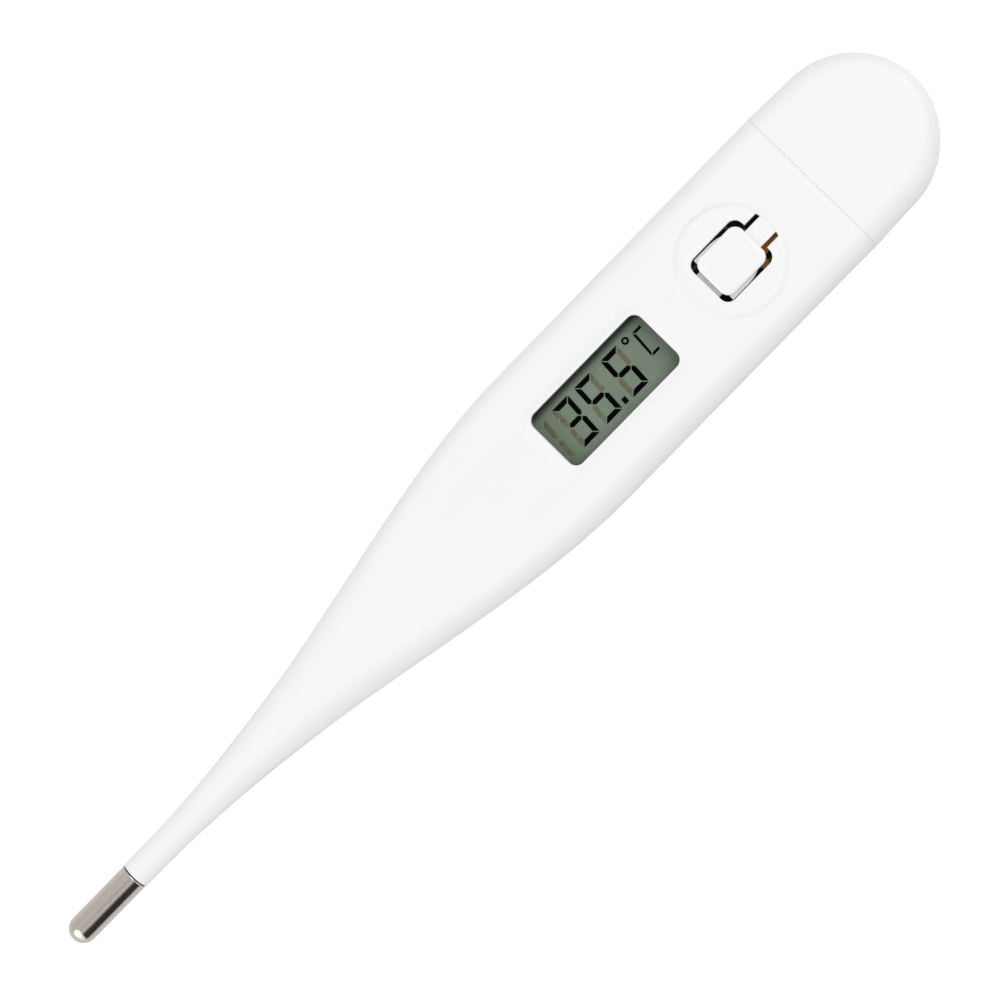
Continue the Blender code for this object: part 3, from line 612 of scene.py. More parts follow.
PAD_X = (97.28, 103.44)
PAD_HALF_Y = 2.54
PAD_CORNER = 1.1
PAD_EDGE = 0.42
PAD_CROWN = 0.03
FLANGE_X = (97.63, 101.9)
FLANGE_HALF_Y = 2.89
FLANGE_TAPER = 2.2
FLANGE_TOP_Z = 8.85
LIP_X = 96.35
LIP_HALF_Y = 1.64
ARM_BOTTOM_Z = 8.95
NUB_RADIUS = 0.8

finish, tree = blank_finish("white_polished_abs")
# Smoother than the casing, so that its edges catch a soft line of light, with the faint hairlines
# that a fingertip leaves.
position = add(tree, "ShaderNodeTexCoord").outputs["Object"]
HAIRLINE = (1.6, 0.12, 0.3)
drawn_out = add(tree, "ShaderNodeMapping", {"vector_type": "TEXTURE"}, {
    "Vector": position, "Rotation": (0, 0, 0.7), "Scale": [MM * size for size in HAIRLINE]}).outputs["Vector"]
rubbed = add(tree, "ShaderNodeTexNoise", None, {"Vector": drawn_out, "Scale": 1.0, "Detail": 2.0})
cloud = add(tree, "ShaderNodeTexNoise", None, {"Vector": position, "Scale": 1 / (2.5 * MM), "Detail": 2.0})
tone = add(tree, "ShaderNodeMix", {"data_type": "RGBA"}, {
    "Factor": cloud.outputs["Fac"], "A": linear("f2f2f4"), "B": linear("f5f5f6")}).outputs["Result"]
bump = add(tree, "ShaderNodeBump", None, {
    "Height": rubbed.outputs["Fac"], "Strength": 0.08, "Distance": 0.01 * MM})
shader = add(tree, "ShaderNodeBsdfPrincipled", None, {
    "Base Color": tone, "IOR": 1.52, "Normal": bump.outputs["Normal"],
    "Subsurface Weight": 0.12, "Subsurface Radius": (1.0, 0.9, 0.9), "Subsurface Scale": 0.4 * MM,
    "Roughness": add(tree, "ShaderNodeMapRange", None, {
        "Value": rubbed.outputs["Fac"], "From Min": 0.3, "From Max": 0.7,
        "To Min": 0.3, "To Max": 0.4}).outputs["Result"]})
add(tree, "ShaderNodeOutputMaterial", None, {"Surface": shader.outputs["BSDF"]})
polished_abs = finish

levels = [(0.0, FLANGE_TOP_Z - 0.4)]
for i in range(9):
    turn = math.pi / 2 * i / 8
    levels.append((PAD_EDGE * (1 - math.cos(turn)),
                   FACE_Z - PAD_CROWN - 0.7 * PAD_EDGE * (1 - math.sin(turn))))
levels += [(0.9, FACE_Z - 0.5 * PAD_CROWN), (1.6, FACE_Z - 0.1 * PAD_CROWN), (2.1, FACE_Z)]
rings = []
for inset, z in levels:
    corner = max(PAD_CORNER - inset, 0.25)
    xs = (PAD_X[0] + inset, PAD_X[1] - inset)
    rings.append(rounded_rectangle(xs, PAD_HALF_Y - inset, corner, z))
pad = loft(rings)

BUTTON_LOW_Z = FLANGE_TOP_Z - 0.4


def slab(outline, low, high, edge=0.05):
    """A flat piece drawn up from a plan outline, its top edge eased towards the outline's middle."""
    middle = sum((Vector(point) for point in outline), Vector((0, 0))) / len(outline)
    rings = []
    for inset, z in ((0, low), (0, high - edge), (0.3 * edge, high - 0.3 * edge), (edge, high)):
        ring = []
        for point in outline:
            away = Vector(point) - middle
            ring.append((*(middle + away * (1 - inset / away.length)), z))
        rings.append(ring)
    return loft(rings)


flank = []
for i in range(9):
    turn = math.pi / 2 * i / 8
    flank.append((FLANGE_X[1] - FLANGE_TAPER * (1 - math.sin(turn)),
                  FLANGE_HALF_Y - 0.75 * (1 - math.cos(turn))))
outline = [(FLANGE_X[0], -FLANGE_HALF_Y), *((x, -y) for x, y in flank),
           *flank[::-1], (FLANGE_X[0], FLANGE_HALF_Y)]
flange = slab(outline, BUTTON_LOW_Z, FLANGE_TOP_Z)
lip = slab([(LIP_X, -LIP_HALF_Y), (PAD_X[0] + 1, -LIP_HALF_Y),
            (PAD_X[0] + 1, LIP_HALF_Y), (LIP_X, LIP_HALF_Y)],
           BUTTON_LOW_Z, FLANGE_TOP_Z)
side = [PAD_X[1] - 1 + 3.0 * i / 8 for i in range(8)]
outline = [*((x, -ARM_HALF_Y) for x in side), *root_arc(ARM_HALF_Y), *((x, ARM_HALF_Y) for x in side[::-1])]
arm = loft([[(x, y * squeeze, z) for x, y in outline] for squeeze, z in (
    (1, ARM_BOTTOM_Z), (1, DISH_Z - HOLE_EDGE), (0.985, DISH_Z - 0.3 * HOLE_EDGE), (0.957, DISH_Z))])
nub_z = box_mm("power_button")[0].z
nub = turned([(nub_z, 0), (nub_z, NUB_RADIUS - 0.2), (nub_z + 0.1, NUB_RADIUS),
              (BUTTON_LOW_Z + 0.2, NUB_RADIUS),
              (BUTTON_LOW_Z + 0.2, 0)], (DISH_X, 0, 0), (0, 0, 1), 32)
mesh = worked(pad, [flange, lip, arm, nub])
button = finished("button_moulding", mesh, polished_abs, "white_casing", "power_button")
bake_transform(button)


# ------------------------------------------------------------------ battery cover
# A white ABS cap with a round tail that pushes over the body's neck and pulls straight off. The small
# shallow mark near its end is where the plastic was let into the mould.

SEAM_GAP = 0.012
MOUTH_X = SEAM_X + SEAM_GAP
TAIL_ARC_X = 117.8
TAIL_RADIUS = 9.05
TAIL_EDGE_SHARE = 0.65
COVER_WALL = 0.87
GATE_X = 120.6
GATE_RADIUS = 0.62
GATE_DEPTH = 0.07


def tail_ring(z, wall, edge, start_x, side_steps, arc_steps):
    """A level outline of the cap, moved in by the wall and by the rounded edge at this height."""
    side = []
    for i in range(side_steps):
        t = i / side_steps
        half = HALF_WIDTH - (HALF_WIDTH - TAIL_RADIUS) * smooth_step(t) - wall - edge
        side.append((start_x + (TAIL_ARC_X - start_x) * t, half, z))
    arc = []
    for i in range(arc_steps + 1):
        turn = math.radians(90 - 180 * i / arc_steps)
        along = LENGTH - TAIL_ARC_X - wall - TAIL_EDGE_SHARE * edge
        arc.append((TAIL_ARC_X + along * math.cos(turn), (TAIL_RADIUS - wall - edge) * math.sin(turn), z))
    return side + arc + [(x, -y, z) for x, y, z in side[::-1]]


def tail_block(thick, across, down, wall, start_x, side_steps, arc_steps, edge_steps):
    """A tail-shaped block with rounded edges, level by level."""
    rings = []
    for i in range(-edge_steps - 1, edge_steps + 1):
        high = 1 if i >= 0 else -1
        turn = math.pi / 2 * (i if i >= 0 else -i - 1) / edge_steps
        z = AXIS_Z + high * (thick - down + down * math.sin(turn))
        rings.append(tail_ring(z, wall, across * (1 - math.cos(turn)), start_x, side_steps, arc_steps))
    return loft(rings)


cap = tail_block(HALF_THICKNESS, EDGE_ACROSS, EDGE_DOWN, 0, MOUTH_X, 8, 64, 16)
cap = round_rim(cap, MOUTH_X, SEAM_ROUND)
room = tail_block(HALF_THICKNESS - COVER_WALL, EDGE_ACROSS - 0.7, EDGE_DOWN - 0.7, COVER_WALL,
                  MOUTH_X - 1, 6, 40, 8)
gate = turned([(FACE_Z - GATE_DEPTH, 0), (FACE_Z - GATE_DEPTH, 0.45 * GATE_RADIUS),
               (FACE_Z - 0.6 * GATE_DEPTH, 0.8 * GATE_RADIUS), (FACE_Z, GATE_RADIUS),
                (FACE_Z + 1, GATE_RADIUS),
               (FACE_Z + 1, 0)], (GATE_X, 0, 0), (0, 0, 1), 32)
mesh = worked(cap, [], [room, gate])
cover = finished("cover_cap", mesh, white_abs, "white_casing", "battery_cover")
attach(cover, "cover")


# ------------------------------------------------------------------ probe tip
# A deep-drawn stainless steel thimble with a round nose, pushed over the probe's spigot and glued.
# Tumbling leaves it satin, with the fine lines of drawing still running along it.

TIP_END_X = box_mm("probe_tip")[1].x
TIP_RADIUS = box_mm("probe_tip")[1].y
TIP_WALL = 0.2
TIP_RIM = 0.16
TIP_STEPS = 72

finish, tree = blank_finish("drawn_stainless_steel")
# Warm grey steel. Long drawing lines spread each reflection a little, and tiny pits mottle its darks.
position = add(tree, "ShaderNodeTexCoord").outputs["Object"]
DRAW_LINE = (5.0, 0.05, 0.05)
PIT = 0.16
lengthwise = add(tree, "ShaderNodeMapping", {"vector_type": "TEXTURE"}, {
    "Vector": position, "Scale": [MM * size for size in DRAW_LINE]}).outputs["Vector"]
lines = add(tree, "ShaderNodeTexNoise", None, {"Vector": lengthwise, "Scale": 1.0, "Detail": 3.0})
pits = add(tree, "ShaderNodeTexNoise", None, {
    "Vector": position, "Scale": 1 / (PIT * MM), "Detail": 4.0, "Roughness": 0.65})
tone = add(tree, "ShaderNodeMix", {"data_type": "RGBA"}, {
    "Factor": pits.outputs["Fac"], "A": linear("c2b9ae"), "B": linear("e3dcd3")}).outputs["Result"]
rough = add(tree, "ShaderNodeMapRange", None, {
    "Value": lines.outputs["Fac"], "From Min": 0.3, "From Max": 0.7, "To Min": 0.12, "To Max": 0.22})
line_bump = add(tree, "ShaderNodeBump", None, {
    "Height": lines.outputs["Fac"], "Strength": 0.5, "Distance": 0.004 * MM})
bump = add(tree, "ShaderNodeBump", None, {
    "Height": pits.outputs["Fac"], "Strength": 0.45, "Distance": 0.009 * MM,
    "Normal": line_bump.outputs["Normal"]})
shader = add(tree, "ShaderNodeBsdfPrincipled", None, {
    "Base Color": tone, "Metallic": 1.0, "Roughness": rough.outputs["Result"],
    "Normal": bump.outputs["Normal"]})
add(tree, "ShaderNodeOutputMaterial", None, {"Surface": shader.outputs["BSDF"]})
steel = finish


def nose(start, radius, steps=18):
    """Profile points of a round end, from the axis to the full radius."""
    return [(start + radius * (1 - math.cos(math.pi / 2 * i / steps)),
             radius * math.sin(math.pi / 2 * i / steps))
            for i in range(steps + 1)]


inside = TIP_RADIUS - TIP_WALL
rim = [(TIP_END_X - TIP_RIM * (1 - math.sin(turn)), TIP_RADIUS - 0.5 * TIP_RIM * (1 - math.cos(turn)))
       for turn in (math.pi / 2 * i / 5 for i in range(6))]
profile = [*nose(0, TIP_RADIUS), *rim, (TIP_END_X, inside), *nose(TIP_WALL, inside)[::-1]]
mesh = worked(turned(profile, (0, 0, AXIS_Z), (1, 0, 0), TIP_STEPS))
tip = finished("tip_thimble", mesh, steel, "stainless_steel", "probe_tip")
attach(tip, "body")

# Glue squeezed out in an uneven brown line where the steel meets the plastic
finish, tree = blank_finish("cured_brown_adhesive")
position = add(tree, "ShaderNodeTexCoord").outputs["Object"]
clot = add(tree, "ShaderNodeTexNoise", None, {"Vector": position, "Scale": 1 / (0.4 * MM), "Detail": 3.0})
tone = add(tree, "ShaderNodeMix", {"data_type": "RGBA"}, {
    "Factor": clot.outputs["Fac"], "A": linear("2a1a12"), "B": linear("6b4a36")}).outputs["Result"]
shader = add(tree, "ShaderNodeBsdfPrincipled", None, {
    "Base Color": tone, "IOR": 1.54, "Roughness": add(tree, "ShaderNodeMapRange", None, {
        "Value": clot.outputs["Fac"], "To Min": 0.3, "To Max": 0.6}).outputs["Result"]})
add(tree, "ShaderNodeOutputMaterial", None, {"Surface": shader.outputs["BSDF"]})
GLUE_WAVES = ((3, 0.035, 0.4), (7, 0.02, 2.0), (13, 0.012, 4.1))
glue_low, glue_high = box_mm("tip_glue_ring")
rings = []
for i in range(96):
    turn = 2 * math.pi * i / 96
    swell_out = sum(size * math.sin(waves * turn + start) for waves, size, start in GLUE_WAVES)
    outer = glue_high.y + 0.03 + swell_out
    ring = []
    for j in range(10):
        round_it = 2 * math.pi * j / 10
        r = (outer + SPIGOT_RADIUS + 0.02) / 2 + (outer - SPIGOT_RADIUS - 0.02) / 2 * math.cos(round_it)
        along = (glue_low.x + glue_high.x) / 2 + 0.075 * math.sin(round_it)
        ring.append((along, r * math.cos(turn), AXIS_Z + r * math.sin(turn)))
    rings.append(ring)
bm = bmesh.new()
rows = [[bm.verts.new(point) for point in ring] for ring in rings]
for low, high in zip(rows, rows[1:] + rows[:1]):
    for j in range(len(low)):
        bm.faces.new((low[j], high[j], high[j - 1], low[j - 1]))
bmesh.ops.recalc_face_normals(bm, faces=bm.faces)
glue = finished("tip_glue_bead", worked(as_mesh(bm)), finish, "brown_glue", "tip_glue_ring")
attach(glue, "body")


# ------------------------------------------------------------------ liquid crystal display
# Two sheets of thin glass with the liquid crystal sealed between them, a polarising film on the front
# and a grey-green reflecting film behind. Where a shaped electrode is switched on, that shape goes
# black; the electrodes at rest still show as a faint warm tint.

# Where the painted shadow of the opening's wall lies across the film, and how dark it gets
WALL_SHADOW_Y = (2.55, 3.7)
WALL_SHADOW_DEPTH = 0.88

finish, tree = blank_finish("grey_green_film_over_reflector")
# The film is so close to the reflector that the two look like one sandy grey-green sheet, which clouds
# a little where the gap in the glass varies. A painted shadow of the opening's wall darkens one long side.
position = add(tree, "ShaderNodeTexCoord").outputs["Object"]
sand = add(tree, "ShaderNodeTexNoise", None, {"Vector": position, "Scale": 1 / (0.25 * MM), "Detail": 3.0})
cloud = add(tree, "ShaderNodeTexNoise", None, {"Vector": position, "Scale": 1 / (3.5 * MM), "Detail": 2.0})
mixed = add(tree, "ShaderNodeMath", {"operation": "MULTIPLY_ADD"}, {
    0: sand.outputs["Fac"], 1: 0.45, 2: add(tree, "ShaderNodeMath", {"operation": "MULTIPLY"}, {
        0: cloud.outputs["Fac"], 1: 0.55}).outputs["Value"]}).outputs["Value"]
tone = add(tree, "ShaderNodeMix", {"data_type": "RGBA"}, {
    "Factor": add(tree, "ShaderNodeMapRange", None, {
        "Value": mixed, "From Min": 0.35, "From Max": 0.65}).outputs["Result"],
    "A": linear("8d9989"), "B": linear("9ba79b")}).outputs["Result"]
# Painted shadow: the film darkens towards one long side, standing for the shade that the opening's wall casts
# on it
across = add(tree, "ShaderNodeSeparateXYZ", None, {0: position}).outputs["Y"]
painted_wall_shadow = add(tree, "ShaderNodeMapRange", {"interpolation_type": "SMOOTHERSTEP"}, {
    "Value": across, "From Min": WALL_SHADOW_Y[0] * MM, "From Max": WALL_SHADOW_Y[1] * MM,
    "To Max": WALL_SHADOW_DEPTH}).outputs["Result"]
tone = add(tree, "ShaderNodeMix", {"data_type": "RGBA"}, {
    "Factor": painted_wall_shadow, "A": tone, "B": linear("0b0d08")}).outputs["Result"]
shader = add(tree, "ShaderNodeBsdfPrincipled", None, {
    "Base Color": tone, "Specular IOR Level": 0.25, "Roughness": add(tree, "ShaderNodeMapRange", None, {
        "Value": sand.outputs["Fac"], "To Min": 0.35, "To Max": 0.55}).outputs["Result"]})
add(tree, "ShaderNodeOutputMaterial", None, {"Surface": shader.outputs["BSDF"]})
lcd_film = finish


def clear_finish(name, tint, ior, rough, speck):
    """See-through sheet: it mirrors by its angle, and dust of the given size in mm lies on it."""
    finish, tree = blank_finish(name)
    position = add(tree, "ShaderNodeTexCoord").outputs["Object"]
    smear = add(tree, "ShaderNodeTexNoise", None, {
        "Vector": position, "Scale": 1 / (2.0 * MM), "Detail": 3.0})
    through = add(tree, "ShaderNodeBsdfTransparent", None, {"Color": linear(tint)})
    mirror = add(tree, "ShaderNodeBsdfGlossy", None, {
        "Color": (1.0, 1.0, 1.0, 1.0), "Roughness": add(tree, "ShaderNodeMapRange", None, {
            "Value": smear.outputs["Fac"], "To Min": rough, "To Max": 2 * rough}).outputs["Result"]})
    outside = add(tree, "ShaderNodeMath", {"operation": "SUBTRACT"}, {
        0: 1.0, 1: add(tree, "ShaderNodeNewGeometry").outputs["Backfacing"]}).outputs["Value"]
    share = add(tree, "ShaderNodeMath", {"operation": "MULTIPLY"}, {
        0: add(tree, "ShaderNodeFresnel", None, {"IOR": ior}).outputs["Fac"], 1: outside})
    sheet = add(tree, "ShaderNodeMixShader", None, {
        0: share.outputs["Value"], 1: through.outputs["BSDF"], 2: mirror.outputs["BSDF"]})
    cells = add(tree, "ShaderNodeTexVoronoi", None, {"Vector": position, "Scale": 1 / (2.2 * MM)})
    dot = add(tree, "ShaderNodeMath", {"operation": "LESS_THAN"}, {
        0: cells.outputs["Distance"], 1: speck / 2.2 / 2})
    dust = add(tree, "ShaderNodeBsdfDiffuse", None, {"Color": linear("b9bdb4")})
    dusty = add(tree, "ShaderNodeMixShader", None, {
        0: dot.outputs["Value"], 1: sheet.outputs["Shader"], 2: dust.outputs["BSDF"]})
    add(tree, "ShaderNodeOutputMaterial", None, {"Surface": dusty.outputs["Shader"]})
    return finish


thin_glass = clear_finish("soda_lime_glass", "e4efe4", 1.52, 0.04, 0.0)


def redressed(node, finish):
    """Gives a CAD node whose shape is right its real material."""
    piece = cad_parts[node]
    piece.data.materials.clear()
    piece.data.materials.append(finish)


redressed("lcd_front_polariser", lcd_film)
redressed("lcd_front_glass", thin_glass)
redressed("lcd_rear_glass", thin_glass)
redressed("lcd_rear_reflector", lcd_film)

# The digits: one seven-segment glyph, put at each digit's place and thinned out to the bars it shows
DIGIT_WIDTH = 2.43
DIGIT_HEIGHT = 5.1
BAR = 0.56
BAR_GAP = 0.075
SLANT = 0.062
INK = 0.006
DIGIT_Y = 0.05
DIGITS_X = (72.4, 75.96, 79.32, 83.25)
LIT = (0, 79, 109, 109)
UNLIT = (6, 48, 18, 18)
ink_z = box_mm("lcd_front_polariser")[1].z + 0.004

tree, given = geometry_tree("digit_bars", {"Glyph": "Object"})
glyph = add(tree, "GeometryNodeObjectInfo", None, {"Object": given["Glyph"]}).outputs["Geometry"]
shown = add(tree, "GeometryNodeInputNamedAttribute", {"data_type": "INT"}, {"Name": "shown"}).outputs[0]
bar = add(tree, "GeometryNodeInputNamedAttribute", {"data_type": "INT"}, {"Name": "bar"}).outputs[0]
placed = add(tree, "GeometryNodeInstanceOnPoints", None, {"Points": given["Geometry"], "Instance": glyph})
solid = add(tree, "GeometryNodeRealizeInstances", None, {"Geometry": placed.outputs["Instances"]})
weight = add(tree, "ShaderNodeMath", {"operation": "POWER"}, {0: 2.0, 1: bar}).outputs["Value"]
share = add(tree, "ShaderNodeMath", {"operation": "DIVIDE"}, {0: shown, 1: weight}).outputs["Value"]
whole = add(tree, "ShaderNodeMath", {"operation": "FLOOR"}, {0: share}).outputs["Value"]
odd = add(tree, "ShaderNodeMath", {"operation": "MODULO"}, {0: whole, 1: 2.0}).outputs["Value"]
dark = add(tree, "FunctionNodeCompare", {"operation": "LESS_THAN"}, {"A": odd, "B": 0.5}).outputs["Result"]
kept = add(tree, "GeometryNodeDeleteGeometry", {"domain": "FACE"}, {
    "Geometry": solid.outputs["Geometry"], "Selection": dark})
close_tree(tree, kept.outputs["Geometry"], given["Finish"])

middle = DIGIT_HEIGHT / 2
top_bar = [(BAR_GAP, 0), (DIGIT_WIDTH - BAR_GAP, 0), (DIGIT_WIDTH - BAR - BAR_GAP, BAR), (BAR + BAR_GAP, BAR)]
stem = [(DIGIT_WIDTH, BAR_GAP), (DIGIT_WIDTH, middle - BAR / 2 - BAR_GAP),
        (DIGIT_WIDTH - BAR / 2, middle - BAR_GAP),
        (DIGIT_WIDTH - BAR, middle - BAR / 2 - BAR_GAP), (DIGIT_WIDTH - BAR, BAR + BAR_GAP)]
cross_bar = [(BAR / 2 + BAR_GAP, middle), (BAR + BAR_GAP, middle - BAR / 2),
             (DIGIT_WIDTH - BAR - BAR_GAP, middle - BAR / 2), (DIGIT_WIDTH - BAR / 2 - BAR_GAP, middle),
             (DIGIT_WIDTH - BAR - BAR_GAP, middle + BAR / 2), (BAR + BAR_GAP, middle + BAR / 2)]


def flipped(outline, across, down):
    return [(DIGIT_WIDTH - x if across else x, DIGIT_HEIGHT - y if down else y) for x, y in outline]


def inked(outlines):
    """Thin flat shapes with a number on each for its bar. y runs down from the digit's top."""
    bm = bmesh.new()
    number = bm.faces.layers.int.new("bar")
    for index, outline in enumerate(outlines):
        spots = [(x + SLANT * (middle - y), DIGIT_Y + middle - y) for x, y in outline]
        low = [bm.verts.new((x, y, 0)) for x, y in spots]
        high = [bm.verts.new((x, y, INK)) for x, y in spots]
        made = [bm.faces.new(low), bm.faces.new(high)]
        for i in range(len(low)):
            made.append(bm.faces.new((low[i - 1], low[i], high[i], high[i - 1])))
        for face in made:
            face[number] = index
    bmesh.ops.recalc_face_normals(bm, faces=bm.faces)
    return as_mesh(bm)


glyph = bpy.data.objects.new("glyph", inked([
    top_bar, stem, flipped(stem, False, True), flipped(top_bar, False, True),
    flipped(stem, True, True), flipped(stem, True, False), cross_bar]))


def digits(codes, finish):
    """The bars that the codes show, at the digits' places."""
    points = bpy.data.meshes.new("places")
    points.from_pydata([(x, 0, ink_z) for x in DIGITS_X], [], [])
    points.attributes.new("shown", "INT", "POINT").data.foreach_set("value", codes)
    return grown(digit_bars, {"Glyph": glyph, "Finish": finish}, points)


digit_bars = tree

finish, tree = blank_finish("switched_liquid_crystal")
# Nearly black, a trace warmer where the light gets through.
position = add(tree, "ShaderNodeTexCoord").outputs["Object"]
depth = add(tree, "ShaderNodeTexNoise", None, {"Vector": position, "Scale": 1 / (0.5 * MM), "Detail": 2.0})
tone = add(tree, "ShaderNodeMix", {"data_type": "RGBA"}, {
    "Factor": depth.outputs["Fac"], "A": linear("020302"), "B": linear("080907")}).outputs["Result"]
shader = add(tree, "ShaderNodeBsdfPrincipled", None, {
    "Base Color": tone, "Roughness": 0.6, "Specular IOR Level": 0.0})
add(tree, "ShaderNodeOutputMaterial", None, {"Surface": shader.outputs["BSDF"]})
switched = finish

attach(finished("display_digits", digits(LIT, switched), switched, "polariser"), "carrier")

DECIMAL_X = (82.08, 82.63)
DECIMAL_Y = (1.72, 2.42)
DEGREE = (86.75, 2.24)
DEGREE_RADIUS = (0.18, 0.42)
UNIT_X = (87.75, 88.99)
UNIT_Y = (-0.93, 2.3)
UNIT_BAR = 0.3


def symbols(outlines, rings=()):
    """Thin flat shapes and rings in the crystal's layer, drawn in place."""
    bm = bmesh.new()
    for outline in outlines:
        low = [bm.verts.new((x, y, ink_z)) for x, y in outline]
        high = [bm.verts.new((x, y, ink_z + INK)) for x, y in outline]
        bm.faces.new(low)
        bm.faces.new(high)
        for i in range(len(low)):
            bm.faces.new((low[i - 1], low[i], high[i], high[i - 1]))
    for (x, y), (inner, outer) in rings:
        loops = []
        for r, z in ((inner, ink_z), (outer, ink_z), (outer, ink_z + INK), (inner, ink_z + INK)):
            turns = (2 * math.pi * i / 32 for i in range(32))
            loops.append([bm.verts.new((x + r * math.cos(t), y + r * math.sin(t), z)) for t in turns])
        for one, two in zip(loops, loops[1:] + loops[:1]):
            for i in range(32):
                bm.faces.new((one[i - 1], one[i], two[i], two[i - 1]))
    bmesh.ops.recalc_face_normals(bm, faces=bm.faces)
    return as_mesh(bm)


x0, x1 = UNIT_X
y0, y1 = UNIT_Y
lean = SLANT * (y1 - y0)
b, g = UNIT_BAR, 0.08
unit = [
    [(x0 + g, y1), (x1, y1), (x1 - 0.05, y1 - b), (x0 + b + g - 0.05, y1 - b)],
    [(x0, y1 - g - 0.05), (x0 + b, y1 - b - g), (x0 + b - lean, y0 + b + g), (x0 - lean, y0 + g)],
    [(x0 + g - lean, y0), (x1 - lean - 0.05, y0), (x1 - lean, y0 + b), (x0 + b + g - lean, y0 + b)],
]
point = [(DECIMAL_X[0], -DECIMAL_Y[1]), (DECIMAL_X[1], -DECIMAL_Y[1]),
         (DECIMAL_X[1] + 0.03, -DECIMAL_Y[0]), (DECIMAL_X[0] + 0.03, -DECIMAL_Y[0])]
marks = symbols([point, *unit], [(DEGREE, DEGREE_RADIUS)])
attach(finished("display_unit_mark", marks, switched, "polariser"), "carrier")

finish, tree = blank_finish("resting_electrodes")
# A clear oxide film that tints the reflector a faint orange-brown.
position = add(tree, "ShaderNodeTexCoord").outputs["Object"]
patchy = add(tree, "ShaderNodeTexNoise", None, {"Vector": position, "Scale": 1 / (0.8 * MM), "Detail": 2.0})
clear = add(tree, "ShaderNodeBsdfTransparent")
film = add(tree, "ShaderNodeBsdfDiffuse", None, {"Color": linear("ab9068")})
shader = add(tree, "ShaderNodeMixShader", None, {
    0: add(tree, "ShaderNodeMapRange", None, {
        "Value": patchy.outputs["Fac"], "From Min": 0.3, "From Max": 0.7,
        "To Min": 0.05, "To Max": 0.28}).outputs["Result"],
    1: clear.outputs["BSDF"], 2: film.outputs["BSDF"]})
add(tree, "ShaderNodeOutputMaterial", None, {"Surface": shader.outputs["Shader"]})
resting = finish
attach(finished("display_resting_bars", digits(UNLIT, resting), resting, "polariser"), "carrier")
bpy.data.objects.remove(glyph)


# ------------------------------------------------------------------ display window
# A clear acrylic plate bonded under the opening. Dust settles on it in a few pale specks.

acrylic = clear_finish("clear_acrylic", "f4f6f4", 1.49, 0.015, 0.11)
redressed("display_window", acrylic)


# ------------------------------------------------------------------ inner carrier
# One moulding in black ABS that slides in from the tail. It frames the display, grips the circuit
# board between two rails and holds the button cell in a box at its end.


def softened(node, edge):
    """A merged copy of a CAD node, in the drawing's millimetres, with its edges rounded."""
    bm = bmesh.new()
    bm.from_mesh(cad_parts[node].data)
    bm.transform(TO_ROW.inverted())
    bmesh.ops.remove_doubles(bm, verts=bm.verts, dist=0.001)
    bmesh.ops.dissolve_limit(bm, angle_limit=math.radians(1), verts=bm.verts, edges=bm.edges)
    return worked(as_mesh(bm), bevel=edge)


def grained(name, colours, rough, grain, pull=(1, 1, 1), relief=0.0, metal=0.0):
    """A finish that wavers between two colours and two roughnesses in grains of a size in mm. The
    grains are pulled out along the axes and stand in relief by so many mm."""
    finish, tree = blank_finish(name)
    position = add(tree, "ShaderNodeTexCoord").outputs["Object"]
    drawn = add(tree, "ShaderNodeMapping", {"vector_type": "TEXTURE"}, {
        "Vector": position, "Scale": [MM * grain * size for size in pull]}).outputs["Vector"]
    grains = add(tree, "ShaderNodeTexNoise", None, {
        "Vector": drawn, "Scale": 1.0, "Detail": 4.0, "Roughness": 0.6}).outputs["Fac"]
    spread = add(tree, "ShaderNodeMapRange", None, {
        "Value": grains, "From Min": 0.3, "From Max": 0.7}).outputs["Result"]
    tone = add(tree, "ShaderNodeMix", {"data_type": "RGBA"}, {
        "Factor": spread, "A": linear(colours[0]), "B": linear(colours[1])}).outputs["Result"]
    dull = add(tree, "ShaderNodeMapRange", None, {
        "Value": spread, "To Min": rough[0], "To Max": rough[1]}).outputs["Result"]
    bump = add(tree, "ShaderNodeBump", None, {
        "Height": grains, "Strength": 0.4, "Distance": relief * MM}).outputs["Normal"]
    shader = add(tree, "ShaderNodeBsdfPrincipled", None, {
        "Base Color": tone, "Roughness": dull, "Normal": bump, "Metallic": metal})
    add(tree, "ShaderNodeOutputMaterial", None, {"Surface": shader.outputs["BSDF"]})
    return finish


# Black, with the soft sheen and the fine grain of a spark-eroded mould
black_abs = grained("black_spark_eroded_abs", ("0c0c0e", "18181b"), (0.4, 0.52), 0.25, relief=0.02)
mesh = softened("inner_carrier", 0.1)
carrier = finished("carrier_moulding", mesh, black_abs, "dark_carrier", "inner_carrier")
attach(carrier, "carrier")


# ------------------------------------------------------------------ circuit board
# Glass cloth in epoxy with a green solder mask, and gold-flashed pads and tracks on its upper face.
# The processor sits under a drop of black epoxy below, and four small parts are soldered above.

finish, tree = blank_finish("green_solder_mask_over_glass_cloth")
# The cloth's weave shows faintly through the mask, and the sawn edges are bare tan laminate.
position = add(tree, "ShaderNodeTexCoord").outputs["Object"]
THREAD = 0.45
weave = []
for way in ("X", "Y"):
    weave.append(add(tree, "ShaderNodeTexWave", {"bands_direction": way}, {
        "Vector": position, "Scale": math.pi / 10 / (THREAD * MM), "Distortion": 0.6}).outputs["Fac"])
cloth = add(tree, "ShaderNodeMath", {"operation": "MULTIPLY"}, {0: weave[0], 1: weave[1]}).outputs["Value"]
mask = add(tree, "ShaderNodeMix", {"data_type": "RGBA"}, {
    "Factor": cloth, "A": linear("0f4a2d"), "B": linear("17603b")}).outputs["Result"]
up = add(tree, "ShaderNodeSeparateXYZ", None, {
    0: add(tree, "ShaderNodeNewGeometry").outputs["Normal"]}).outputs["Z"]
flat = add(tree, "ShaderNodeMath", {"operation": "GREATER_THAN"}, {
    0: add(tree, "ShaderNodeMath", {"operation": "ABSOLUTE"}, {0: up}).outputs["Value"],
    1: 0.5}).outputs["Value"]
tone = add(tree, "ShaderNodeMix", {"data_type": "RGBA"}, {
    "Factor": flat, "A": linear("8f7f4c"), "B": mask}).outputs["Result"]
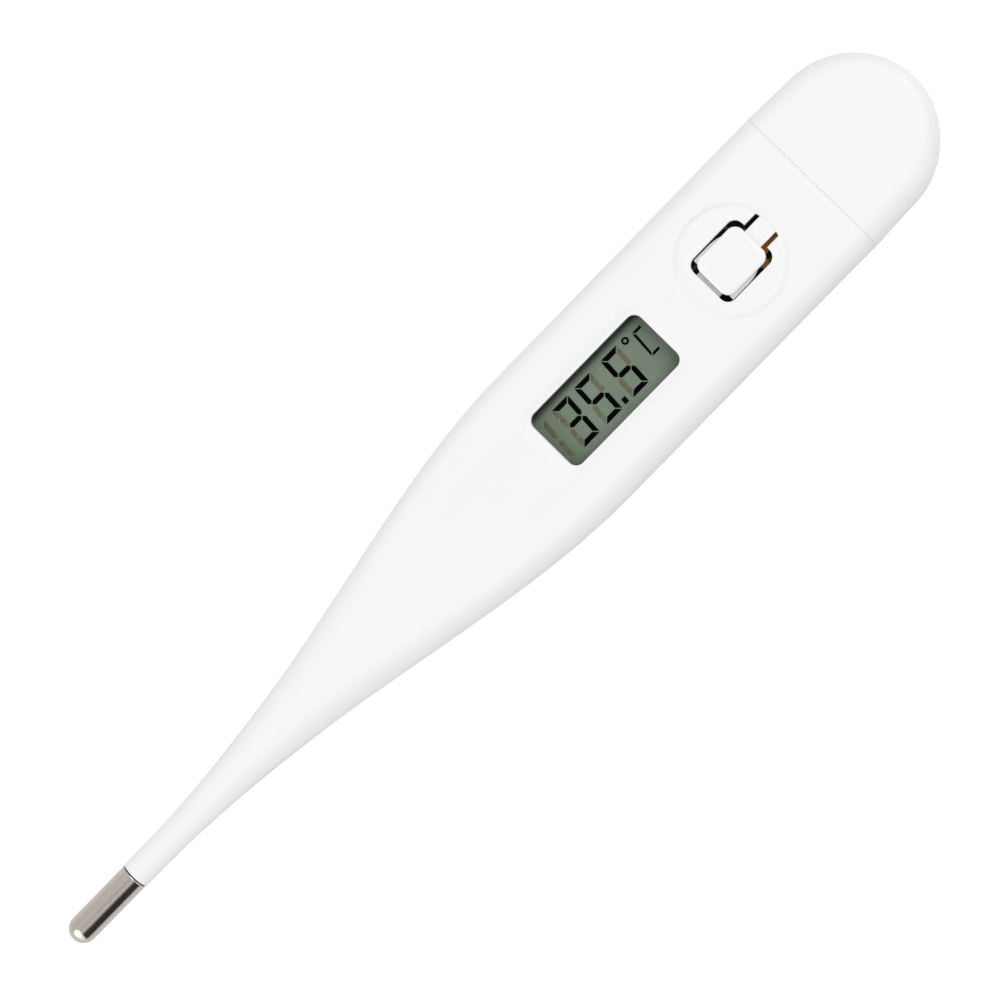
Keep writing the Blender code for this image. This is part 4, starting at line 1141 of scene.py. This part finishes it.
dull = add(tree, "ShaderNodeMapRange", None, {
    "Value": cloth, "To Min": 0.28, "To Max": 0.4}).outputs["Result"]
bump = add(tree, "ShaderNodeBump", None, {
    "Height": cloth, "Strength": 0.3, "Distance": 0.01 * MM}).outputs["Normal"]
shader = add(tree, "ShaderNodeBsdfPrincipled", None, {"Base Color": tone, "Roughness": dull, "Normal": bump})
add(tree, "ShaderNodeOutputMaterial", None, {"Surface": shader.outputs["BSDF"]})
board = finished("board_laminate", softened("circuit_board", 0.03), finish, "circuit_board", "circuit_board")
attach(board, "carrier")

BOARD_LOW, BOARD_HIGH = box_mm("circuit_board")
TRACK_WIDTH = 0.3
TRACK_HEIGHT = 0.014

tree, given = geometry_tree("swept_strip", {
    "Width": "Float", "Thickness": "Float", "Corner": "Float", "Bend": "Float"})
line = add(tree, "GeometryNodeMeshToCurve", None, {"Mesh": given["Geometry"]}).outputs["Curve"]
bent = add(tree, "GeometryNodeFilletCurve", {"mode": "POLY"}, {
    "Curve": line, "Count": 5, "Radius": given["Bend"], "Limit Radius": True}).outputs["Curve"]
edge = add(tree, "GeometryNodeCurvePrimitiveQuadrilateral", None, {
    "Width": given["Width"], "Height": given["Thickness"]}).outputs["Curve"]
edge = add(tree, "GeometryNodeFilletCurve", {"mode": "POLY"}, {
    "Curve": edge, "Count": 3, "Radius": given["Corner"], "Limit Radius": True}).outputs["Curve"]
strip = add(tree, "GeometryNodeCurveToMesh", None, {
    "Curve": bent, "Profile Curve": edge, "Fill Caps": True}).outputs["Mesh"]
close_tree(tree, strip, given["Finish"])
swept_strip = tree


def swept(paths, width, thickness, corner, bend, finish):
    """Strips or wires of one section along several paths of points."""
    points, edges = [], []
    for path in paths:
        first = len(points)
        points += [tuple(point) for point in path]
        edges += [(i, i + 1) for i in range(first, len(points) - 1)]
    start = bpy.data.meshes.new("paths")
    start.from_pydata(points, edges, [])
    return worked(grown(swept_strip, {
        "Width": width, "Thickness": thickness, "Corner": corner, "Bend": bend, "Finish": finish}, start))


# Tracks run from the display's pads to the processor's vias, the switch and the cell's contacts
gold = grained("gold_flashed_copper", ("b98f3c", "d9b565"), (0.22, 0.34), 0.12, relief=0.004, metal=1.0)
track_z = BOARD_HIGH.z + TRACK_HEIGHT / 2
VIA_X = 93.2
FIRST_PAD_X = 74.1
PAD_PITCH = 0.74
PAD_COUNT = 22
PAD_Y = 4.1
PADS_X = [FIRST_PAD_X + PAD_PITCH * i for i in range(PAD_COUNT)]
tracks = []
for i, x in enumerate(PADS_X[::3]):
    lane = 2.9 - 0.55 * i
    tracks.append([(x, 3.4, track_z), (x, lane, track_z), (VIA_X - 0.3 * i, lane, track_z)])
for y in (2.6, -2.6, -4.2):
    tracks.append([(95.6, y, track_z), (98.4, y, track_z),
                   (99.2, y * 0.35, track_z), (99.6, y * 0.35, track_z)])
tracks.append([(96.0, 4.2, track_z), (101.5, 4.2, track_z), (103.2, 2.2, track_z), (103.9, 1.2, track_z)])
tracks.append([(101.2, -0.9, track_z), (102.6, -2.4, track_z), (104.0, -2.4, track_z)])
mesh = swept(tracks, TRACK_WIDTH, TRACK_HEIGHT, 0.004, 0.3, gold)
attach(finished("board_tracks", mesh, gold, "circuit_board"), "carrier")

tree, given = geometry_tree("set_out", {"Part": "Object"})
part = add(tree, "GeometryNodeObjectInfo", None, {"Object": given["Part"]}).outputs["Geometry"]
placed = add(tree, "GeometryNodeInstanceOnPoints", None, {"Points": given["Geometry"], "Instance": part})
close_tree(tree, placed.outputs["Instances"], given["Finish"])
set_out = tree


def block(low, high, edge):
    """A box between two corners, with its edges rounded."""
    corners = [(low[0], low[1]), (high[0], low[1]), (high[0], high[1]), (low[0], high[1])]
    return worked(loft([[(x, y, z) for x, y in corners] for z in (low[2], high[2])]), bevel=edge)


def repeated(part_mesh, places, finish):
    """One part set out at many places, as one mesh."""
    part = bpy.data.objects.new("part", part_mesh)
    start = bpy.data.meshes.new("places")
    start.from_pydata(places, [], [])
    mesh = grown(set_out, {"Part": part, "Finish": finish}, start)
    bpy.data.objects.remove(part)
    return mesh


pad = block((-0.2, -0.6, 0), (0.2, 0.6, TRACK_HEIGHT), 0.005)
mesh = repeated(pad, [(x, PAD_Y, BOARD_HIGH.z) for x in PADS_X], gold)
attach(finished("display_pads", mesh, gold, "circuit_board"), "carrier")

# A glossy black drop, a little lopsided where it ran before it set
drop_epoxy = grained("black_epoxy_drop", ("060607", "111113"), (0.12, 0.26), 1.4, relief=0.03)
low, high = box_mm("chip_cover")
radius, depth = (high.y - low.y) / 2, high.z - low.z
profile = [(high.z, 0)]
for i in range(13):
    share = 1 - i / 12
    profile.append((high.z - depth * (1 - share**2.4) ** 0.8, radius * share))
mesh = worked(turned(profile, ((low.x + high.x) / 2, 0, 0), (0, 0, 1), 48))
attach(finished("processor_drop", mesh, drop_epoxy, "potting_epoxy", "chip_cover"), "carrier")

# Thick-film resistors are black on top, ceramic capacitors are tan all through, and both have tinned ends
END = 0.3
END_OVERLAP = 0.04
END_PROUD = 0.02
black_film = grained("resistor_glaze", ("0d0d10", "1d1d22"), (0.25, 0.4), 0.1, relief=0.004)
tan_ceramic = grained("fired_barium_titanate", ("8a6a45", "a98a62"), (0.4, 0.55), 0.08, relief=0.006)
tinned = grained("tinned_ends_and_solder", ("b4b5b8", "d3d4d6"), (0.2, 0.36), 0.15, relief=0.01, metal=1.0)
ends = []
for name, finish, slot in (
        ("resistor_1", black_film, "resistor"), ("resistor_2", black_film, "resistor"),
        ("capacitor_1", tan_ceramic, "capacitor"), ("capacitor_2", tan_ceramic, "capacitor")):
    low, high = box_mm(name)
    middle_y = (low.y + high.y) / 2
    ends += [(low.x, middle_y, low.z), (high.x - END, middle_y, low.z)]
    body = block((low.x + END - END_OVERLAP, low.y + END_PROUD, low.z + END_PROUD),
                 (high.x - END + END_OVERLAP, high.y - END_PROUD, high.z - END_PROUD), 0.03)
    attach(finished(name + "_body", body, finish, slot, name), "carrier")
half_y = (high.y - low.y) / 2
end = block((0, -half_y, 0), (END, half_y, high.z - low.z), 0.06)
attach(finished("chip_ends", repeated(end, ends, tinned), tinned, "solder"), "carrier")

# The thermistor's wires end in two cones of solder under the board's front end
CONE_TIP = 0.18
CONE_STEPS = 9
for name in ("solder_joint_1", "solder_joint_2"):
    low, high = box_mm(name)
    radius, depth = (high.y - low.y) / 2, high.z - low.z
    profile = [(high.z, 0)]
    for i in range(CONE_STEPS + 1):
        share = i / CONE_STEPS
        profile.append((high.z - depth * share, radius * (CONE_TIP + (1 - CONE_TIP) * (1 - share) ** 2)))
    centre = ((low.x + high.x) / 2, (low.y + high.y) / 2, 0)
    mesh = worked(turned([*profile, (low.z, 0)], centre, (0, 0, 1), 32))
    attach(finished(name + "_cone", mesh, tinned, "solder", name), "carrier")


# ------------------------------------------------------------------ elastomer connector
# Soft silicone with thin layers of carbon-filled rubber across it. Pressed between the display's
# glass and the board's pads, it carries each segment's signal without solder.

LAYER = 0.18
LAYER_PITCH = 0.4
silicone = grained("pale_silicone_rubber", ("b9b4a8", "cbc7bc"), (0.5, 0.65), 0.3, relief=0.01)
carbon = grained("carbon_filled_rubber", ("101011", "1c1c1e"), (0.6, 0.75), 0.1, relief=0.004)
low, high = box_mm("zebra_connector")
mesh = softened("zebra_connector", 0.06)
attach(finished("connector_silicone", mesh, silicone, "elastomer", "zebra_connector"), "carrier")
PROUD = 0.01
layer = block((-LAYER / 2, low.y - PROUD, low.z + PROUD), (LAYER / 2, high.y + PROUD, high.z - PROUD), 0.02)
count = int((high.x - low.x - LAYER) / LAYER_PITCH)
start = (low.x + high.x - LAYER_PITCH * (count - 1)) / 2
mesh = repeated(layer, [(start + LAYER_PITCH * i, 0, 0) for i in range(count)], carbon)
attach(finished("connector_carbon_layers", mesh, carbon, "elastomer"), "carrier")


# ------------------------------------------------------------------ switch and contacts
# A leaf of phosphor bronze under the button, blanked from rolled strip, meets a turned post on the
# board. Two nickel-plated strips bring the cell's current to the board.

# Rolling leaves long fine lines in the bronze and nickel, and a warm golden tint in the bronze
bronze = grained("rolled_phosphor_bronze", ("a9682a", "cf9448"), (0.2, 0.34), 0.06, (60, 1, 1), 0.004, 1.0)
nickel = grained("nickel_plated_strip", ("b0aca2", "cbc8c0"), (0.16, 0.3), 0.06, (50, 1, 1), 0.004, 1.0)
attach(finished("leaf_strip", softened("switch_leaf", 0.03), bronze, "bronze", "switch_leaf"), "carrier")

low, high = box_mm("switch_post")
radius = (high.y - low.y) / 2
profile = [(low.z, 0), (low.z, radius - 0.06), (low.z + 0.06, radius), (low.z + 0.4, radius),
           (low.z + 0.46, radius - 0.12), (high.z - 0.5, radius - 0.12), (high.z - 0.44, radius),
           (high.z - 0.1, radius), (high.z, radius - 0.14), (high.z, 0)]
mesh = worked(turned(profile, (DISH_X, 0, 0), (0, 0, 1), 40))
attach(finished("turned_post", mesh, bronze, "bronze", "switch_post"), "carrier")

STRIP = 0.2
foot_high, foot_low = BOARD_HIGH.z + 0.12, BOARD_LOW.z - 0.12
upper = [(104.4, foot_high), (105.5, foot_high), (105.9, 5.8), (105.9, 6.6), (106.3, 7.0), (110.0, 7.05),
         (112.3, 6.82), (114.6, 7.02)]
lower = [(104.4, foot_low), (105.5, foot_low), (105.9, 3.7), (106.5, 3.0), (108.4, 2.9), (110.0, 2.84),
         (112.3, 2.88), (114.6, 2.84)]
for node, path, name in (
        ("positive_contact", upper, "positive_strip"), ("negative_contact", lower, "negative_strip")):
    low, high = box_mm(node)
    along = [(x, (low.y + high.y) / 2, z) for x, z in path]
    mesh = swept([along], high.y - low.y, STRIP, 0.04, 0.3, nickel)
    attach(finished(name, mesh, nickel, "nickel", node), "carrier")


# ------------------------------------------------------------------ buzzer
# A brass disc with a thin piezo ceramic wafer cemented on it, silvered on its face. Two insulated
# wires, soldered on, carry the signal from the board.

brass = grained("lapped_brass", ("b88f3e", "d8b464"), (0.2, 0.35), 0.05, (30, 1, 1), 0.004, 1.0)
wafer = grained("fired_piezo_ceramic", ("d5d1c5", "e6e3da"), (0.45, 0.6), 0.06, relief=0.004)
silvering = grained("fired_silver_paste", ("c2c1bc", "dcdbd7"), (0.3, 0.45), 0.05, relief=0.003, metal=1.0)


def disc(node, radius, low_z, high_z, edge):
    """A disc round the middle of a CAD node, with a rounded edge."""
    low, high = box_mm(node)
    centre = ((low.x + high.x) / 2, (low.y + high.y) / 2, 0)
    profile = [(low_z, 0), (low_z, radius - edge)]
    for i in range(5):
        turn = math.pi * i / 4
        profile.append(((low_z + high_z) / 2 - (high_z - low_z) / 2 * math.cos(turn),
                        radius - edge + edge * math.sin(turn)))
    profile += [(high_z, radius - edge), (high_z, 0)]
    return worked(turned(profile, centre, (0, 0, 1), 72))


SILVER = 0.012
low, high = box_mm("buzzer_disc")
mesh = disc("buzzer_disc", high.y, low.z, high.z, 0.05)
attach(finished("brass_plate", mesh, brass, "brass_disc", "buzzer_disc"), "carrier")
low, high = box_mm("buzzer_ceramic")
mesh = disc("buzzer_ceramic", high.y, low.z, high.z - SILVER, 0.04)
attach(finished("ceramic_wafer", mesh, wafer, "piezo_ceramic", "buzzer_ceramic"), "carrier")
mesh = disc("buzzer_ceramic", high.y - 0.4, high.z - SILVER, high.z, 0.01)
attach(finished("silvered_face", mesh, silvering, "piezo_ceramic"), "carrier")


def smooth_route(knots, per_span):
    """Points of a smooth curve through the knots."""
    ends = [knots[0], *knots, knots[-1]]
    route = []
    for spots in zip(ends, ends[1:], ends[2:], ends[3:]):
        a, b, c, d = (Vector(spot) for spot in spots)
        for i in range(per_span):
            t = i / per_span
            route.append(0.5 * (2 * b + (c - a) * t + (2 * a - 5 * b + 4 * c - d) * t**2
                                + (3 * b - a - 3 * c + d) * t**3))
    return [*route, Vector(knots[-1])]


# Extruded insulation is smooth and glossy, with faint streaks from the die along it
red_pvc = grained("red_pvc_insulation", ("8e1414", "b02222"), (0.25, 0.38), 0.08, (20, 1, 1), 0.006)
LEAD_RADIUS = 0.15
high_z = BOARD_LOW.z - 0.05
wafer_top = box_mm("buzzer_ceramic")[0].z
wafer_route = [(98.0, 0.5, wafer_top + 0.35), (99.5, 0.5, 3.3), (101.5, 0.5, high_z)]
plate_route = [(93.0, 1.0, wafer_top + 0.2), (94.5, 1.0, 3.2), (96.5, 1.0, high_z)]
for node, knots, name in (
        ("buzzer_lead_ceramic", wafer_route, "wafer_lead"), ("buzzer_lead_disc", plate_route, "plate_lead")):
    route = smooth_route(knots, 12)
    mesh = swept([route], 2 * LEAD_RADIUS, 2 * LEAD_RADIUS, LEAD_RADIUS * 0.99, 0.0, red_pvc)
    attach(finished(name, mesh, red_pvc, "wire_plastic", node), "carrier")


# ------------------------------------------------------------------ sensor in the probe
# A thermistor bead cast in grey epoxy in the nose of the tip. Its two enamelled wires run through a
# polyimide sleeve and lie slack in the hollow, so that the carrier can slide out with them.

low, high = box_mm("tip_potting")
cast_epoxy = grained("cast_grey_epoxy", ("3a3a3e", "4c4c51"), (0.3, 0.45), 0.3, relief=0.01)
bore = 0.64
fill = high.y
profile = [*nose(low.x, fill), (high.x - 0.05, fill), (high.x, fill - 0.08), (high.x - 0.06, bore + 0.1),
           (high.x - 0.1, bore), (1.2, bore), (1.2, 0)]
mesh = worked(turned(profile, (0, 0, AXIS_Z), (1, 0, 0), 56))
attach(finished("nose_filling", mesh, cast_epoxy, "potting_epoxy", "tip_potting"), "body")

low, high = box_mm("thermistor_bead")
dipped = grained("dipped_brown_epoxy", ("5c2614", "7d3a1f"), (0.15, 0.28), 0.2, relief=0.01)
half, middle_x = (high.x - low.x) / 2, (high.x + low.x) / 2
profile = [(middle_x - half * math.cos(turn), high.y * math.sin(turn) ** 0.6)
           for turn in (math.pi * i / 20 for i in range(21))]
mesh = worked(turned(profile, (0, 0, AXIS_Z), (1, 0, 0), 40))
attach(finished("bead_coat", mesh, dipped, "thermistor_coating", "thermistor_bead"), "body")

low, high = box_mm("insulation_sleeve")
polyimide = grained("amber_polyimide_tube", ("a0651a", "c4862c"), (0.2, 0.32), 0.1, (12, 1, 1), 0.004)
outside, bore = high.y, 0.5
profile = [(low.x, outside - 0.03), (low.x + 0.03, outside),
           (high.x - 0.03, outside), (high.x, outside - 0.03), (high.x, bore), (low.x, bore)]
mesh = worked(turned(profile, (0, 0, AXIS_Z), (1, 0, 0), 40))
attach(finished("wire_sleeve", mesh, polyimide, "sleeve_plastic", "insulation_sleeve"), "body")

WIRE_RADIUS = 0.1
WIRE_Y = 0.3
end_z = BOARD_LOW.z - WIRE_RADIUS - 0.05
enamel = grained("enamelled_copper", ("7a3315", "a04c22"), (0.25, 0.35), 0.1, (25, 1, 1), 0.004, 0.6)
for name, side in (("thermistor_wire_left", 1), ("thermistor_wire_right", -1)):
    y = WIRE_Y * side
    knots = [(3.0, y, AXIS_Z), (9.0, y, AXIS_Z), (16.0, y, AXIS_Z), (26.0, y * 1.2, 4.4), (36.0, y * 2, 3.5),
             (48.0, y * 3, 2.5), (58.0, y * 4, 1.9), (62.5, y * 5, 2.6),
             (64.6, y * 5, end_z), (65.7, y * 5, end_z)]
    mesh = swept([smooth_route(knots, 14)], 2 * WIRE_RADIUS, 2 * WIRE_RADIUS, WIRE_RADIUS * 0.99, 0.0, enamel)
    wire = finished(name.replace("thermistor", "sensor"), mesh, enamel, "enamelled_copper", name)
    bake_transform(wire)


# ------------------------------------------------------------------ button cell
# A standard steel button cell, its can uppermost. The can's edge is crimped in over a nylon gasket
# that holds the cap below.

# Nickel plate, wiped round and round by the press tools, with a soft shine
pressed = grained("pressed_nickel_plated_steel", ("b6b7b9", "d4d5d6"), (0.16, 0.28), 0.3,
                  relief=0.006, metal=1.0)
nylon = grained("grey_nylon", ("2c2d2e", "3c3d3f"), (0.45, 0.6), 0.15, relief=0.008)
low, high = box_mm("cell_can")
r, cell_x = high.y, (low.x + high.x) / 2
bottom = box_mm("cell_cap")[0].z
corner = 0.28
lip = r - 0.75
profile = [(high.z, 0), (high.z, 1.9), (high.z - 0.03, 1.98), (high.z - 0.03, 2.2), (high.z, 2.28)]
for i in range(9):
    turn = math.pi / 2 * i / 8
    profile.append((high.z - corner + corner * math.cos(turn), r - corner + corner * math.sin(turn)))
crimp = bottom + 0.2
for i in range(9):
    turn = math.pi / 2 * i / 8
    profile.append((crimp + 0.24 - 0.24 * math.sin(turn), r - 0.3 + 0.3 * math.cos(turn)))
profile += [(crimp, lip + 0.04), (crimp + 0.04, lip), (crimp + 0.16, lip), (crimp + 0.3, r - 0.3),
            (high.z - 0.25, r - 0.3), (high.z - 0.25, 0)]
mesh = worked(turned(profile, (cell_x, 0, 0), (0, 0, 1), 96), sharp=50)
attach(finished("can_pressing", mesh, pressed, "cell_steel", "cell_can"), "battery")

low, high = box_mm("cell_gasket")
outer, inner = high.y, high.y - 0.2
profile = [(low.z + 0.04, inner), (low.z, inner + 0.04), (low.z, outer - 0.04), (low.z + 0.04, outer),
           (high.z, outer), (high.z, inner)]
mesh = worked(turned(profile, (cell_x, 0, 0), (0, 0, 1), 72))
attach(finished("crimped_gasket", mesh, nylon, "elastomer", "cell_gasket"), "battery")

low, high = box_mm("cell_cap")
flange = high.y
face = lip - 0.3
profile = [(low.z, 0), (low.z, face - 0.25)]
for i in range(1, 7):
    turn = math.pi / 2 * i / 6
    profile.append((low.z + 0.2 - 0.2 * math.cos(turn), face - 0.2 + 0.2 * math.sin(turn)))
profile += [(low.z + 0.6, face), (low.z + 0.6, flange), (high.z, flange), (high.z, 0)]
mesh = worked(turned(profile, (cell_x, 0, 0), (0, 0, 1), 72))
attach(finished("cap_pressing", mesh, pressed, "cell_steel", "cell_cap"), "battery")
